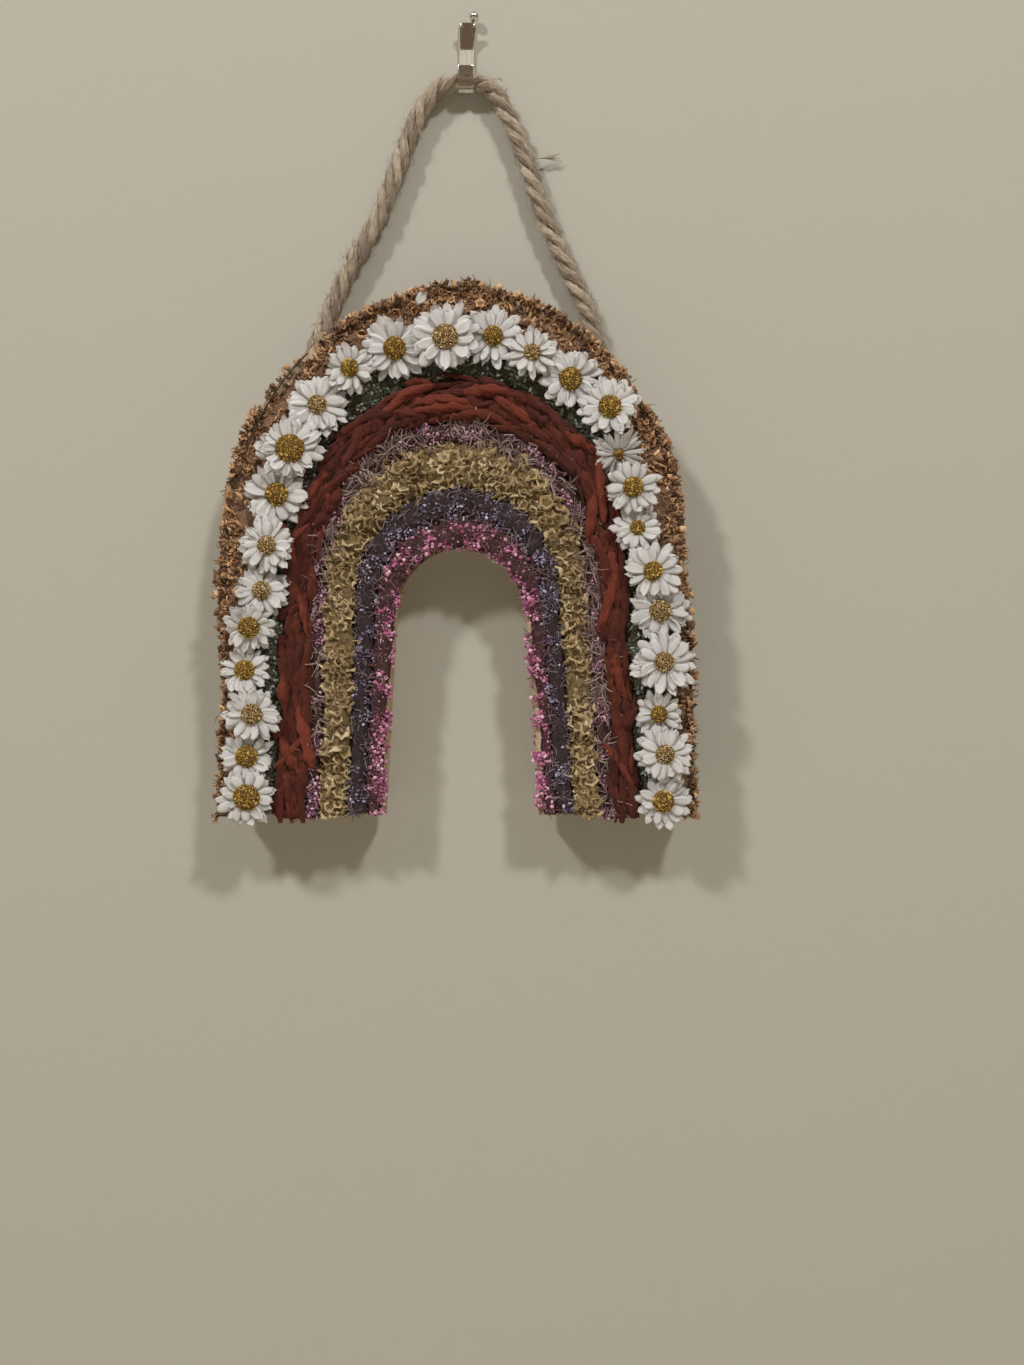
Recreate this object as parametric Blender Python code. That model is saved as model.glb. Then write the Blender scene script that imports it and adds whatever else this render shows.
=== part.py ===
"""Arch of dried flowers on a wooden board, hung by a rope loop from a picture hook.

Metres, +Z up.  The wall is the plane y = 0 and the flowers face -Y.
The origin is on the flat back of the hook's strip.
"""
import math
import random

import bmesh
import bpy
from mathutils import Matrix, Vector

MM = 0.001

# Board: an arch, seen from the front, between an outer and an inner line
BOARD_BACK = 8.3 * MM
BOARD_THICK = 15.0 * MM
BOARD_FOOT_Z = -329.9 * MM
OUTER_MIDDLE_X = -1.4 * MM
OUTER_SPRING_Z = -214.5 * MM
OUTER_HALF_LEFT = 99.4 * MM
OUTER_HALF_RIGHT = 89.4 * MM
OUTER_RISE = 104.9 * MM
OUTER_FOOT_LEFT = -100.8 * MM
OUTER_FOOT_RIGHT = 95.1 * MM
INNER_MIDDLE_X = -2.2 * MM
INNER_SPRING_Z = -246.0 * MM
INNER_HALF = 27.7 * MM
INNER_RISE = 29.4 * MM
INNER_FOOT_LEFT = -34.5 * MM
INNER_FOOT_RIGHT = 31.3 * MM

LEG_STEPS = 16
ARCH_STEPS = 46
GAP = 0.3 * MM
BOARD_FRONT = BOARD_BACK + BOARD_THICK
FLOWER_BASE = BOARD_FRONT + GAP

# Flower rows, from the opening to the rim: where each starts and ends across
# the board (0 is the inner line, 1 the outer line), how high it stands, how
# many heads lie side by side in it, how deep the dips between them are, and
# how far its ends hang below the board's foot
ROWS = (
    # node, starts, ends, high_mm, heads, dips, hangs_mm, colour, roughness
    ("pink_florets", -0.010, 0.110, 4.8, 3, 0.55, -0.5, "A8437A", 0.80),
    ("blue_florets", 0.110, 0.225, 3.9, 3, 0.50, -1.0, "5D5478", 0.85),
    ("cream_florets", 0.225, 0.405, 6.6, 4, 0.50, 0.0, "B5A066", 0.80),
    ("mauve_sprigs", 0.405, 0.490, 4.2, 3, 0.60, 1.5, "7D5468", 0.85),
    ("red_tufts", 0.490, 0.650, 4.4, 4, 0.25, 2.5, "862E20", 0.95),
    ("green_buds", 0.650, 0.710, 3.5, 3, 0.50, -1.0, "4A5148", 0.75),
    ("brown_sprigs", 0.905, 1.000, 4.3, 4, 0.55, 0.5, "9A6A42", 0.85),
)
SIDE_HEADS = 0.85
HEAD_TOPS = (0.0, 0.3)
HEAD_DIPS = (0.5, 1.0)
EDGE_SEED = 7
EDGE_WANDER = 0.012
RIM_WANDER = 1.6 * MM

# The red and green rows lie nearer the opening on the arch's left shoulder
HAUNCH_EDGES = (0.6, 0.8)
HAUNCH_SHIFT = -0.065
HAUNCH_ANGLE = 162.0
HAUNCH_SPREAD = 24.0

# How far the rim's sprigs reach past the board, along the arch
RIM_REACH = (
    # place along the arch (see arch_place), reach_mm
    (0.00, 5.5),
    (0.10, 1.0),
    (0.17, 5.5),
    (0.22, 1.0),
    (0.30, 2.5),
    (0.36, 0.8),
    (0.44, 0.8),
    (0.475, 3.5),
    (0.50, 4.5),
    (0.54, 2.5),
    (0.60, 2.0),
    (0.68, 1.5),
    (0.73, 6.0),
    (0.80, 5.5),
    (0.90, 6.5),
    (0.96, 3.0),
    (1.00, 4.0),
)

# Daisies, in order along the arch from the left foot to the right foot
DAISIES = (
    # x_mm, z_mm, across_mm, eye_mm
    (-89.6, -321.5, 23.9, 11.5),
    (-90.4, -305.0, 22.7, 9.5),
    (-87.5, -287.3, 23.1, 9.1),
    (-91.2, -269.2, 21.4, 8.7),
    (-88.8, -251.4, 21.4, 9.1),
    (-84.2, -236.2, 23.1, 8.2),
    (-81.3, -217.7, 23.1, 8.2),
    (-78.0, -196.2, 26.4, 9.9),
    (-71.9, -178.1, 27.2, 12.4),
    (-61.2, -159.1, 26.4, 8.2),
    (-47.1, -144.7, 20.6, 7.8),
    (-29.0, -135.7, 27.2, 9.9),
    (-8.0, -132.0, 28.8, 11.1),
    (11.8, -130.7, 25.5, 8.7),
    (27.8, -138.5, 21.4, 7.4),
    (43.9, -148.4, 26.4, 9.9),
    (60.0, -160.8, 25.5, 9.9),
    (63.7, -179.3, 21.4, 7.4),
    (69.5, -193.8, 23.1, 8.7),
    (71.5, -210.2, 22.2, 6.6),
    (77.7, -228.4, 24.7, 8.2),
    (81.0, -244.4, 26.4, 9.5),
    (82.2, -265.9, 27.2, 8.7),
    (80.6, -287.3, 20.6, 7.4),
    (82.6, -303.8, 23.9, 8.2),
    (82.2, -323.5, 23.1, 9.5),
)
PETALS = 12
PETAL_THICK = 1.6 * MM
PETAL_LIFT = 4.9 * MM
PETAL_LEVEL = 3.2 * MM
TIP_RISE = 0.8 * MM
TIP_HALF = 0.32
TIP_SHORTEST = 0.93
NOTCH_REACH = 0.66
NOTCH_RISE = 0.4
EYE_HIGH = 3.0 * MM
EYE_STEEP = 0.33
EYE_RINGS = (
    # share of the eye's width, share of its height
    (0.50, 0.00),
    (0.41, 0.65),
    (0.20, 1.00),
)
STALK_RADIUS = 1.5 * MM
STALK_SIDES = 6

# Rope: three plies, its middle line a fixed distance off the wall
ROPE_ACROSS = 6.7 * MM
ROPE_OFF_WALL = 4.7 * MM
ROPE_LAY = 45.0 * MM
ROPE_STEP = 3.75 * MM
ROPE_PLIES = 3
ROPE_CURVE_PARTS = 24
ROPE_GROOVE = 0.80
ROPE_ROUTE = (
    # x_mm, z_mm
    (-72.0, -165.0),
    (-72.0, -151.5),
    (-70.0, -138.0),
    (-61.9, -118.0),
    (-51.5, -94.4),
    (-38.4, -70.9),
    (-29.2, -47.4),
    (-21.0, -26.5),
    (-11.6, -15.4),
    (0.0, -12.6),
    (10.8, -16.0),
    (18.2, -28.2),
    (25.3, -46.0),
    (32.4, -67.6),
    (41.4, -88.8),
    (51.0, -109.3),
    (56.4, -125.5),
    (59.8, -138.5),
    (62.0, -151.5),
    (62.5, -165.0),
)

# Picture hook: a strip on the wall, curled up in front of the rope, with a
# tongue that leans out in front of the nail
HOOK_MIDDLE_X = -0.3 * MM
HOOK_WIDE = 6.7 * MM
HOOK_THICK = 1.0 * MM
HOOK_TOP_Z = 15.0 * MM
HOOK_CURL_Z = -12.9 * MM
HOOK_CURL_INNER = 3.65 * MM
HOOK_LIP_TOP_Z = -8.0 * MM
HOOK_CURL_STEPS = 10
TONGUE_FOOT_Z = 4.0 * MM
TONGUE_TOP_Z = 13.3 * MM
TONGUE_LEAN = 4.4 * MM
TONGUE_THICK = 0.8 * MM
TONGUE_FOOT_WIDE = 5.9 * MM
TONGUE_TOP_WIDE = 7.3 * MM
TONGUE_CORNER = 1.2 * MM
TONGUE_MIDDLE_X = 0.4 * MM
TONGUE_SINK = 0.4 * MM

NAIL_HEAD = Vector((3.0, -3.2, 16.8)) * MM
NAIL_HEAD_RADIUS = 2.2 * MM
NAIL_HEAD_SIDES = 14
NAIL_HEAD_RINGS = 9
NAIL_WALL_POINT = Vector((0.2, 0.0, 11.0)) * MM
NAIL_RADIUS = 0.65 * MM
NAIL_SIDES = 12
NAIL_PAST_WALL = 6.0 * MM
NAIL_HOLE_FRONT = 3.6 * MM


def clear_scene():
    for thing in list(bpy.data.objects):
        bpy.data.objects.remove(thing, do_unlink=True)


def linear(value):
    if value <= 0.04045:
        return value / 12.92
    return ((value + 0.055) / 1.055) ** 2.4


def paint(name, colour, roughness, metallic=0.0):
    material = bpy.data.materials.new(name)
    material.use_nodes = True
    shader = material.node_tree.nodes["Principled BSDF"]
    channels = [int(colour[i:i + 2], 16) / 255.0 for i in (0, 2, 4)]
    shader.inputs["Base Color"].default_value = (*[linear(c) for c in channels], 1.0)
    shader.inputs["Roughness"].default_value = roughness
    shader.inputs["Metallic"].default_value = metallic
    return material


def add_object(name, mesh, material, smooth_angle):
    mesh.materials.append(material)
    mesh.shade_smooth()
    mesh.set_sharp_from_angle(angle=math.radians(smooth_angle))
    thing = bpy.data.objects.new(name, mesh)
    bpy.context.scene.collection.objects.link(thing)
    return thing


def solid(name, points, faces, material, smooth_angle=40.0):
    """One closed body from points and faces, its faces turned outwards."""
    work = bmesh.new()
    corners = [work.verts.new(point) for point in points]
    for face in faces:
        work.faces.new([corners[i] for i in face])
    bmesh.ops.recalc_face_normals(work, faces=work.faces)
    mesh = bpy.data.meshes.new(name)
    work.to_mesh(mesh)
    work.free()
    return add_object(name, mesh, material, smooth_angle)


def loft(name, rings, material, smooth_angle=40.0):
    """A closed body through rings of equally many points, capped at both ends."""
    count = len(rings[0])
    points = [point for ring in rings for point in ring]
    faces = []
    for row in range(len(rings) - 1):
        near = row * count
        far = near + count
        for i in range(count):
            j = (i + 1) % count
            faces.append((near + i, near + j, far + j, far + i))
    faces.append(tuple(range(count)))
    last = (len(rings) - 1) * count
    faces.append(tuple(last + i for i in range(count)))
    return solid(name, points, faces, material, smooth_angle)


def on_front(x, z, high=0.0):
    """A point a height above the face that the flowers are glued to."""
    return Vector((x, -(FLOWER_BASE + high), z))


def outer_line(leg, share):
    """Rim of the board: share runs up a leg, or is the angle on the arch."""
    if leg == "arch":
        half = OUTER_HALF_LEFT if math.cos(share) < 0.0 else OUTER_HALF_RIGHT
        return (OUTER_MIDDLE_X + half * math.cos(share),
                OUTER_SPRING_Z + OUTER_RISE * math.sin(share))
    foot = OUTER_FOOT_LEFT if leg == "left" else OUTER_FOOT_RIGHT
    half = -OUTER_HALF_LEFT if leg == "left" else OUTER_HALF_RIGHT
    top = OUTER_MIDDLE_X + half
    return (foot + (top - foot) * share,
            BOARD_FOOT_Z + (OUTER_SPRING_Z - BOARD_FOOT_Z) * share)


def inner_line(leg, share):
    if leg == "arch":
        return (INNER_MIDDLE_X + INNER_HALF * math.cos(share),
                INNER_SPRING_Z + INNER_RISE * math.sin(share))
    foot = INNER_FOOT_LEFT if leg == "left" else INNER_FOOT_RIGHT
    half = -INNER_HALF if leg == "left" else INNER_HALF
    top = INNER_MIDDLE_X + half
    return (foot + (top - foot) * share,
            BOARD_FOOT_Z + (INNER_SPRING_Z - BOARD_FOOT_Z) * share)


def arch_place(step):
    """The leg and share of one step, from the left foot round to the right."""
    if step <= LEG_STEPS:
        return "left", step / LEG_STEPS
    if step < LEG_STEPS + ARCH_STEPS:
        turned = (step - LEG_STEPS) / ARCH_STEPS
        return "arch", math.pi * (1.0 - turned)
    left_over = 2 * LEG_STEPS + ARCH_STEPS - step
    return "right", left_over / LEG_STEPS


STEPS = 2 * LEG_STEPS + ARCH_STEPS


def board_point(step, across):
    """A point of the board's face: 0 is on the inner line and 1 on the rim."""
    leg, share = arch_place(step)
    inner = inner_line(leg, share)
    outer = outer_line(leg, share)
    return (inner[0] + (outer[0] - inner[0]) * across,
            inner[1] + (outer[1] - inner[1]) * across)


def board_width(step):
    inner = board_point(step, 0.0)
    outer = board_point(step, 1.0)
    return math.hypot(outer[0] - inner[0], outer[1] - inner[1])


def make_board():
    wood = paint("pale_wood", "C2A27A", 0.70)
    rings = []
    for step in range(STEPS + 1):
        inner = board_point(step, 0.0)
        outer = board_point(step, 1.0)
        rings.append([
            Vector((inner[0], -BOARD_BACK, inner[1])),
            Vector((outer[0], -BOARD_BACK, outer[1])),
            Vector((outer[0], -BOARD_FRONT, outer[1])),
            Vector((inner[0], -BOARD_FRONT, inner[1])),
        ])
    loft("board", rings, wood, smooth_angle=30.0)


def haunch(step):
    """How far a step lies on the arch's left shoulder, from 0 to 1."""
    leg, share = arch_place(step)
    if leg != "arch":
        return 0.0
    off = (math.degrees(share) - HAUNCH_ANGLE) / HAUNCH_SPREAD
    return math.exp(-off * off)


def rim_reach(step):
    """How far the sprigs stand past the rim at a step, read along the table."""
    place = step / STEPS
    for (start, low), (end, high) in zip(RIM_REACH, RIM_REACH[1:]):
        if place <= end:
            return (low + (high - low) * (place - start) / (end - start)) * MM
    return RIM_REACH[-1][1] * MM


def row_edges():
    """Ragged edge of each row at each step, so that neighbours share a line."""
    dice = random.Random(EDGE_SEED)
    edges = {}
    for share in sorted({row[1] for row in ROWS} | {row[2] for row in ROWS}):
        line = []
        for step in range(STEPS + 1):
            place = share + dice.uniform(-EDGE_WANDER, EDGE_WANDER)
            if HAUNCH_EDGES[0] < share < HAUNCH_EDGES[1]:
                place += HAUNCH_SHIFT * haunch(step)
            if share == 1.0:
                reach = rim_reach(step) + dice.uniform(-RIM_WANDER, RIM_WANDER)
                place += reach / board_width(step)
            line.append(place)
        edges[share] = line
    return edges


def make_row(row, edges):
    """One row of flowers along the arch, its heads staggered from step to step."""
    name, starts, ends, high, heads, dips, hangs, colour, roughness = row
    material = paint(name, colour, roughness)
    dice = random.Random(name)
    places = [(head + 0.6) / (heads + 0.2) for head in range(heads)]
    rings = []
    for step in range(STEPS + 1):
        half_gap = 0.5 * GAP / board_width(step)
        near = edges[starts][step] + half_gap
        far = edges[ends][step] - half_gap
        drop = hangs * MM if step in (0, STEPS) else 0.0
        ring = []
        for head, across in enumerate((0.0, *places, 1.0)):
            x, z = board_point(step, near + (far - near) * across)
            dip = dice.uniform(*(HEAD_TOPS if (step + head) % 2 else HEAD_DIPS))
            lump = high * MM * (1.0 - dips * dip)
            if across in (0.0, 1.0):
                lump = 0.0
            elif head in (1, heads):
                lump *= SIDE_HEADS
            ring.append(on_front(x, z - drop, lump))
        rings.append(ring)
    loft(name, rings, material, smooth_angle=55.0)


def petal_outline(middle, radius, high, turn, dice):
    """Outline of the petals: a notch and two tip corners for each petal."""
    outline = []
    pitch = 2.0 * math.pi / PETALS
    for petal in range(PETALS):
        length = radius * dice.uniform(TIP_SHORTEST, 1.0)
        for share, reach, rise in ((-0.5, NOTCH_REACH * radius, NOTCH_RISE),
                                   (-TIP_HALF, length, 1.0),
                                   (TIP_HALF, length, 1.0)):
            angle = turn + (petal + share) * pitch
            outline.append(on_front(middle[0] + reach * math.cos(angle),
                                    middle[1] + reach * math.sin(angle),
                                    high + rise * TIP_RISE))
    return outline


def circle_on_front(middle, radius, high, count, turn):
    return [on_front(middle[0] + radius * math.cos(turn + 2.0 * math.pi * i / count),
                     middle[1] + radius * math.sin(turn + 2.0 * math.pi * i / count),
                     high) for i in range(count)]


def make_daisy(number, row, petal_paint):
    """A flower head on a short stalk: thin-edged petals round a domed eye."""
    x, z, across, eye = [value * MM for value in row]
    middle = (x, z)
    dice = random.Random(number)
    turn = dice.uniform(0.0, 2.0 * math.pi / PETALS)
    high = PETAL_LIFT + (PETAL_LEVEL if number % 2 == 1 else 0.0)
    top = high + PETAL_THICK
    eye_high = min(EYE_HIGH, EYE_STEEP * eye)
    outline = petal_outline(middle, 0.5 * across, high, turn, dice)
    stalk_turn = turn + math.pi / PETALS
    parts = [
        circle_on_front(middle, STALK_RADIUS, 0.0, STALK_SIDES, stalk_turn),
        circle_on_front(middle, STALK_RADIUS, high, STALK_SIDES, stalk_turn),
        outline,
    ]
    for wide, tall in EYE_RINGS:
        parts.append(circle_on_front(middle, wide * eye, top + tall * eye_high, PETALS, turn))
    points = [point for part in parts for point in part]
    starts = [sum(len(part) for part in parts[:i]) for i in range(len(parts))]
    foot, neck, rim, eye_foot, eye_middle, eye_top = starts
    faces = [tuple(foot + i for i in range(STALK_SIDES))]
    rim_count = len(outline)
    per_side = rim_count // STALK_SIDES
    for i in range(STALK_SIDES):
        j = (i + 1) % STALK_SIDES
        faces.append((foot + i, foot + j, neck + j, neck + i))
        for k in range(i * per_side, (i + 1) * per_side):
            faces.append((neck + i, rim + k, rim + (k + 1) % rim_count))
        faces.append((neck + i, rim + (i + 1) * per_side % rim_count, neck + j))
    for i in range(PETALS):
        j = (i + 1) % PETALS
        for k in range(3 * i, 3 * i + 3):
            faces.append((eye_foot + i, rim + k, rim + (k + 1) % rim_count))
        faces.append((eye_foot + i, rim + (3 * i + 3) % rim_count, eye_foot + j))
        faces.append((eye_foot + i, eye_foot + j, eye_middle + j, eye_middle + i))
        faces.append((eye_middle + i, eye_middle + j, eye_top + j, eye_top + i))
    faces.append(tuple(eye_top + i for i in range(PETALS)))
    solid(f"daisy_{number:02d}", points, faces, petal_paint, smooth_angle=35.0)


def smooth_route(places, spacing):
    """Points at an even spacing on a smooth curve through the route's places."""
    fine = []
    padded = [places[0] * 2 - places[1], *places, places[-1] * 2 - places[-2]]
    for a, b, c, d in zip(padded, padded[1:], padded[2:], padded[3:]):
        for i in range(ROPE_CURVE_PARTS):
            t = i / ROPE_CURVE_PARTS
            fine.append(0.5 * ((2 * b) + (c - a) * t + (2 * a - 5 * b + 4 * c - d) * t * t
                               + (3 * b - a - 3 * c + d) * t * t * t))
    fine.append(places[-1])
    lengths = [0.0]
    for a, b in zip(fine, fine[1:]):
        lengths.append(lengths[-1] + (b - a).length)
    count = round(lengths[-1] / spacing)
    route = []
    at = 0
    for i in range(count + 1):
        wanted = lengths[-1] * i / count
        while at < len(fine) - 2 and lengths[at + 1] < wanted:
            at += 1
        share = (wanted - lengths[at]) / (lengths[at + 1] - lengths[at])
        route.append(fine[at].lerp(fine[at + 1], min(share, 1.0)))
    return route


def make_rope():
    """The rope as one sweep of a three-lobed section that turns with the lay."""
    jute = paint("jute", "8A7660", 0.95)
    places = [Vector((x, 0.0, z)) * MM for x, z in ROPE_ROUTE]
    for place in places:
        place.y = -ROPE_OFF_WALL
    route = smooth_route(places, ROPE_STEP)
    rings = []
    for i, middle in enumerate(route):
        ahead = route[min(i + 1, len(route) - 1)] - route[max(i - 1, 0)]
        ahead.normalize()
        out = Vector((0.0, -1.0, 0.0))
        side = ahead.cross(out).normalized()
        turn = 2.0 * math.pi * i * ROPE_STEP / ROPE_LAY
        ring = []
        for k in range(2 * ROPE_PLIES):
            radius = 0.5 * ROPE_ACROSS * (1.0 if k % 2 == 0 else ROPE_GROOVE)
            angle = turn + math.pi * k / ROPE_PLIES
            ring.append(middle + side * radius * math.cos(angle) + out * radius * math.sin(angle))
        rings.append(ring)
    loft("rope", rings, jute, smooth_angle=25.0)


def cut_or_join(thing, other, operation):
    """A Boolean with a second shape, which stays as a hidden guide."""
    other.hide_render = True
    other.display_type = "WIRE"
    modifier = thing.modifiers.new(other.name, "BOOLEAN")
    modifier.operation = operation
    modifier.object = other
    modifier.solver = "EXACT"


def hook_profile():
    """The strip seen from the side, as (distance off the wall, height)."""
    outer = HOOK_CURL_INNER + HOOK_THICK
    profile = [(0.0, HOOK_TOP_Z), (0.0, HOOK_CURL_Z)]
    for i in range(1, HOOK_CURL_STEPS + 1):
        angle = math.pi * (1.0 + i / HOOK_CURL_STEPS)
        profile.append((outer + outer * math.cos(angle), HOOK_CURL_Z + outer * math.sin(angle)))
    profile.append((2.0 * outer, HOOK_LIP_TOP_Z))
    profile.append((2.0 * outer - HOOK_THICK, HOOK_LIP_TOP_Z))
    for i in range(HOOK_CURL_STEPS + 1):
        angle = math.pi * (2.0 - i / HOOK_CURL_STEPS)
        profile.append((outer + HOOK_CURL_INNER * math.cos(angle),
                        HOOK_CURL_Z + HOOK_CURL_INNER * math.sin(angle)))
    profile.append((HOOK_THICK, HOOK_TOP_Z))
    return profile


def make_tongue(steel):
    """A plate that widens upwards, its foot sunk in the strip's face."""
    lean = Vector((0.0, -TONGUE_LEAN, TONGUE_TOP_Z - TONGUE_FOOT_Z))
    front = Vector((0.0, -lean.z, lean.y)).normalized() * TONGUE_THICK
    foot = Vector((HOOK_MIDDLE_X, -HOOK_THICK + TONGUE_SINK, TONGUE_FOOT_Z))
    top = Vector((TONGUE_MIDDLE_X, foot.y, foot.z)) + lean
    side = Vector((1.0, 0.0, 0.0))
    down = lean.normalized() * -TONGUE_CORNER
    half_foot = 0.5 * TONGUE_FOOT_WIDE
    half_top = 0.5 * TONGUE_TOP_WIDE
    outline = [foot - side * half_foot, foot + side * half_foot]
    for sign, turns in ((1.0, (0, 1, 2)), (-1.0, (2, 1, 0))):
        for turn in turns:
            angle = 0.25 * math.pi * turn
            inwards = TONGUE_CORNER * (1.0 - math.cos(angle))
            outline.append(top + side * sign * (half_top - inwards)
                           + down * (1.0 - math.sin(angle)))
    return loft("tongue_guide", [outline, [point + front for point in outline]], steel)


def nail_axis():
    return (NAIL_WALL_POINT - NAIL_HEAD).normalized()


def make_shank(name, radius, start, end, material):
    """A round bar between two points of the nail's axis."""
    along = nail_axis()
    side = along.orthogonal().normalized()
    other = along.cross(side)
    rings = []
    for middle in (start, end):
        rings.append([middle + (side * math.cos(a) + other * math.sin(a)) * radius
                      for a in (2.0 * math.pi * i / NAIL_SIDES for i in range(NAIL_SIDES))])
    return loft(name, rings, material)


def make_hook():
    steel = paint("bright_steel", "C9C6BF", 0.20, metallic=1.0)
    sides = []
    for x in (HOOK_MIDDLE_X - 0.5 * HOOK_WIDE, HOOK_MIDDLE_X + 0.5 * HOOK_WIDE):
        sides.append([Vector((x, -off, z)) for off, z in hook_profile()])
    hook = loft("hook", sides, steel)
    along = nail_axis()
    hole = make_shank("nail_hole_guide", NAIL_RADIUS + GAP,
                      NAIL_WALL_POINT - along * NAIL_HOLE_FRONT,
                      NAIL_WALL_POINT + along * NAIL_PAST_WALL, steel)
    cut_or_join(hook, make_tongue(steel), "UNION")
    cut_or_join(hook, hole, "DIFFERENCE")


def make_nail():
    """A ball-headed nail, its shank ending in the wall's plane."""
    steel = paint("nail_steel", "D2CFC8", 0.15, metallic=1.0)
    mesh = bpy.data.meshes.new("nail")
    work = bmesh.new()
    bmesh.ops.create_uvsphere(work, u_segments=NAIL_HEAD_SIDES, v_segments=NAIL_HEAD_RINGS,
                              radius=NAIL_HEAD_RADIUS,
                              matrix=Matrix.Translation(NAIL_HEAD))
    work.to_mesh(mesh)
    work.free()
    nail = add_object("nail", mesh, steel, 60.0)
    along = nail_axis()
    shank = make_shank("shank_guide", NAIL_RADIUS, NAIL_HEAD,
                       NAIL_WALL_POINT + along * NAIL_PAST_WALL, steel)
    cut_or_join(nail, shank, "UNION")
    reach = 2.0 * NAIL_PAST_WALL
    wall = [[NAIL_WALL_POINT + Vector((x, y, z)) * reach
             for x, z in ((-1.0, -1.0), (1.0, -1.0), (1.0, 1.0), (-1.0, 1.0))]
            for y in (0.0, 1.0)]
    cut_or_join(nail, loft("wall_guide", wall, steel), "DIFFERENCE")


def main():
    clear_scene()
    make_board()
    edges = row_edges()
    for row in ROWS:
        make_row(row, edges)
    petal_paint = paint("daisy", "D8D4D0", 0.70)
    for number, row in enumerate(DAISIES, start=1):
        make_daisy(number, row, petal_paint)
    make_rope()
    make_hook()
    make_nail()


main()
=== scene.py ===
"""Looks of an arch of dried flowers on a wooden board, hung by a jute rope.

Metres, +Z up.  The wall is the plane y = 0 and the flowers face -Y.
"""
import random
from math import cos, degrees, exp, pi, radians, sin

import bmesh
import bpy
from mathutils import Euler, Matrix, Vector, noise


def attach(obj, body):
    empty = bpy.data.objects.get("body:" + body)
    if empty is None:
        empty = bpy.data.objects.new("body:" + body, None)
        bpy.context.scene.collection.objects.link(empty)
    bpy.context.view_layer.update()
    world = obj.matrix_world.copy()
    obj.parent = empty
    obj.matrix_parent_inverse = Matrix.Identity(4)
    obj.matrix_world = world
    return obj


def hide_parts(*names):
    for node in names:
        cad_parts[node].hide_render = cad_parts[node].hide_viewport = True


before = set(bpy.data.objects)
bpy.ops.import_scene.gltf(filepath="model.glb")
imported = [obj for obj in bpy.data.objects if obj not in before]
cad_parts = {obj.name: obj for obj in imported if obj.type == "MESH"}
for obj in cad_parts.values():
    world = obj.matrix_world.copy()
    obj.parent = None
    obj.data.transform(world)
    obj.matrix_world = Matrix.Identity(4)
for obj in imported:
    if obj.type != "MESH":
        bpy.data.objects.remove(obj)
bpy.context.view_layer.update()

MM = 0.001
TURN = 2.0 * pi
OUT = Vector((0.0, -1.0, 0.0))

# Camera, as the photograph was taken
CAMERA_PLACE = Vector((19.6, -500.0, -274.3)) * MM
LENS_MM = 29.96
LONG_SIDE_MM = 36.0

# Board lines, as the solids have them
BOARD_BACK = 8.3 * MM
BOARD_FRONT = 23.3 * MM
FLOWER_BASE = 23.6 * MM
FOOT_Z = -329.9 * MM
OUTER = dict(middle=-1.4 * MM, spring=-214.5 * MM, left=99.4 * MM, right=89.4 * MM,
             rise=104.9 * MM, foot_left=-100.8 * MM, foot_right=95.1 * MM)
INNER = dict(middle=-2.2 * MM, spring=-246.0 * MM, left=27.7 * MM, right=27.7 * MM,
             rise=29.4 * MM, foot_left=-34.5 * MM, foot_right=31.3 * MM)
LEG_STEPS = 16
ARCH_STEPS = 46
STEPS = 2 * LEG_STEPS + ARCH_STEPS
FINE_STEPS = 3 * STEPS
LEG_RUN = 0.563
ROW_RUN = 0.75
NEARBY = 0.01
BOARD_EASE = 0.6 * MM
BED_ACROSS = 9
TUFT_HANG = 3.0 * MM

EDGE_WANDER = ((0.018, 46.0), (0.016, 150.0))
HAUNCH_EDGES = (0.6, 0.8)
HAUNCH_SHIFT = -0.065
HAUNCH_ANGLE = 162.0
HAUNCH_SPREAD = 24.0
RIM_REACH = (
    # place along the arch, how far the sprigs reach past the rim in mm
    (0.00, 5.5), (0.10, 1.0), (0.17, 5.5), (0.22, 1.0), (0.30, 2.5), (0.36, 0.8),
    (0.44, 0.8), (0.475, 3.5), (0.50, 4.5), (0.54, 2.5), (0.60, 2.0), (0.68, 1.5),
    (0.73, 6.0), (0.80, 5.5), (0.90, 6.5), (0.96, 3.0), (1.00, 4.0),
)

BARE_INSIDE = (
    # place along the arch, share of the width left bare beside the opening
    (0.00, 0.010), (0.10, 0.015), (0.20, -0.010), (0.76, -0.010), (0.80, 0.030),
    (0.84, 0.020), (0.90, 0.045), (1.00, 0.030),
)
BARE_RIM = (0.345, 0.045, 0.055)

# Rope, as the solids have it
ROPE_OFF_WALL = 4.7 * MM
ROPE_LAY = 27.0 * MM
ROPE_BEHIND_Z = -133.0 * MM
ROPE_STEP = 1.5 * MM
ROPE_SEEN_Z = -0.128
ROPE_HAIRS = 1450
WALL_GAP = 0.3 * MM
ROPE_WISPS = (
    # root, bend and tip in mm, how many hairs, how far their tips fan out
    ((25.5, -45.2), (33.0, -45.8), (39.6, -43.6), 16, 2.2),
    ((10.0, -13.0), (13.5, -9.0), (15.5, -10.5), 7, 0.9),
    ((-29.0, -55.0), (-33.0, -66.0), (-38.5, -80.0), 9, 0.5),
)
ROPE_ROUTE = (
    (-72.0, -165.0), (-72.0, -151.5), (-70.0, -138.0), (-61.9, -118.0), (-51.5, -94.4),
    (-38.4, -70.9), (-29.2, -47.4), (-21.0, -26.5), (-11.6, -15.4), (0.0, -12.6),
    (10.8, -16.0), (18.2, -28.2), (25.3, -46.0), (32.4, -67.6), (41.4, -88.8),
    (51.0, -109.3), (56.4, -125.5), (59.8, -138.5), (62.0, -151.5), (62.5, -165.0),
)

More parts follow.
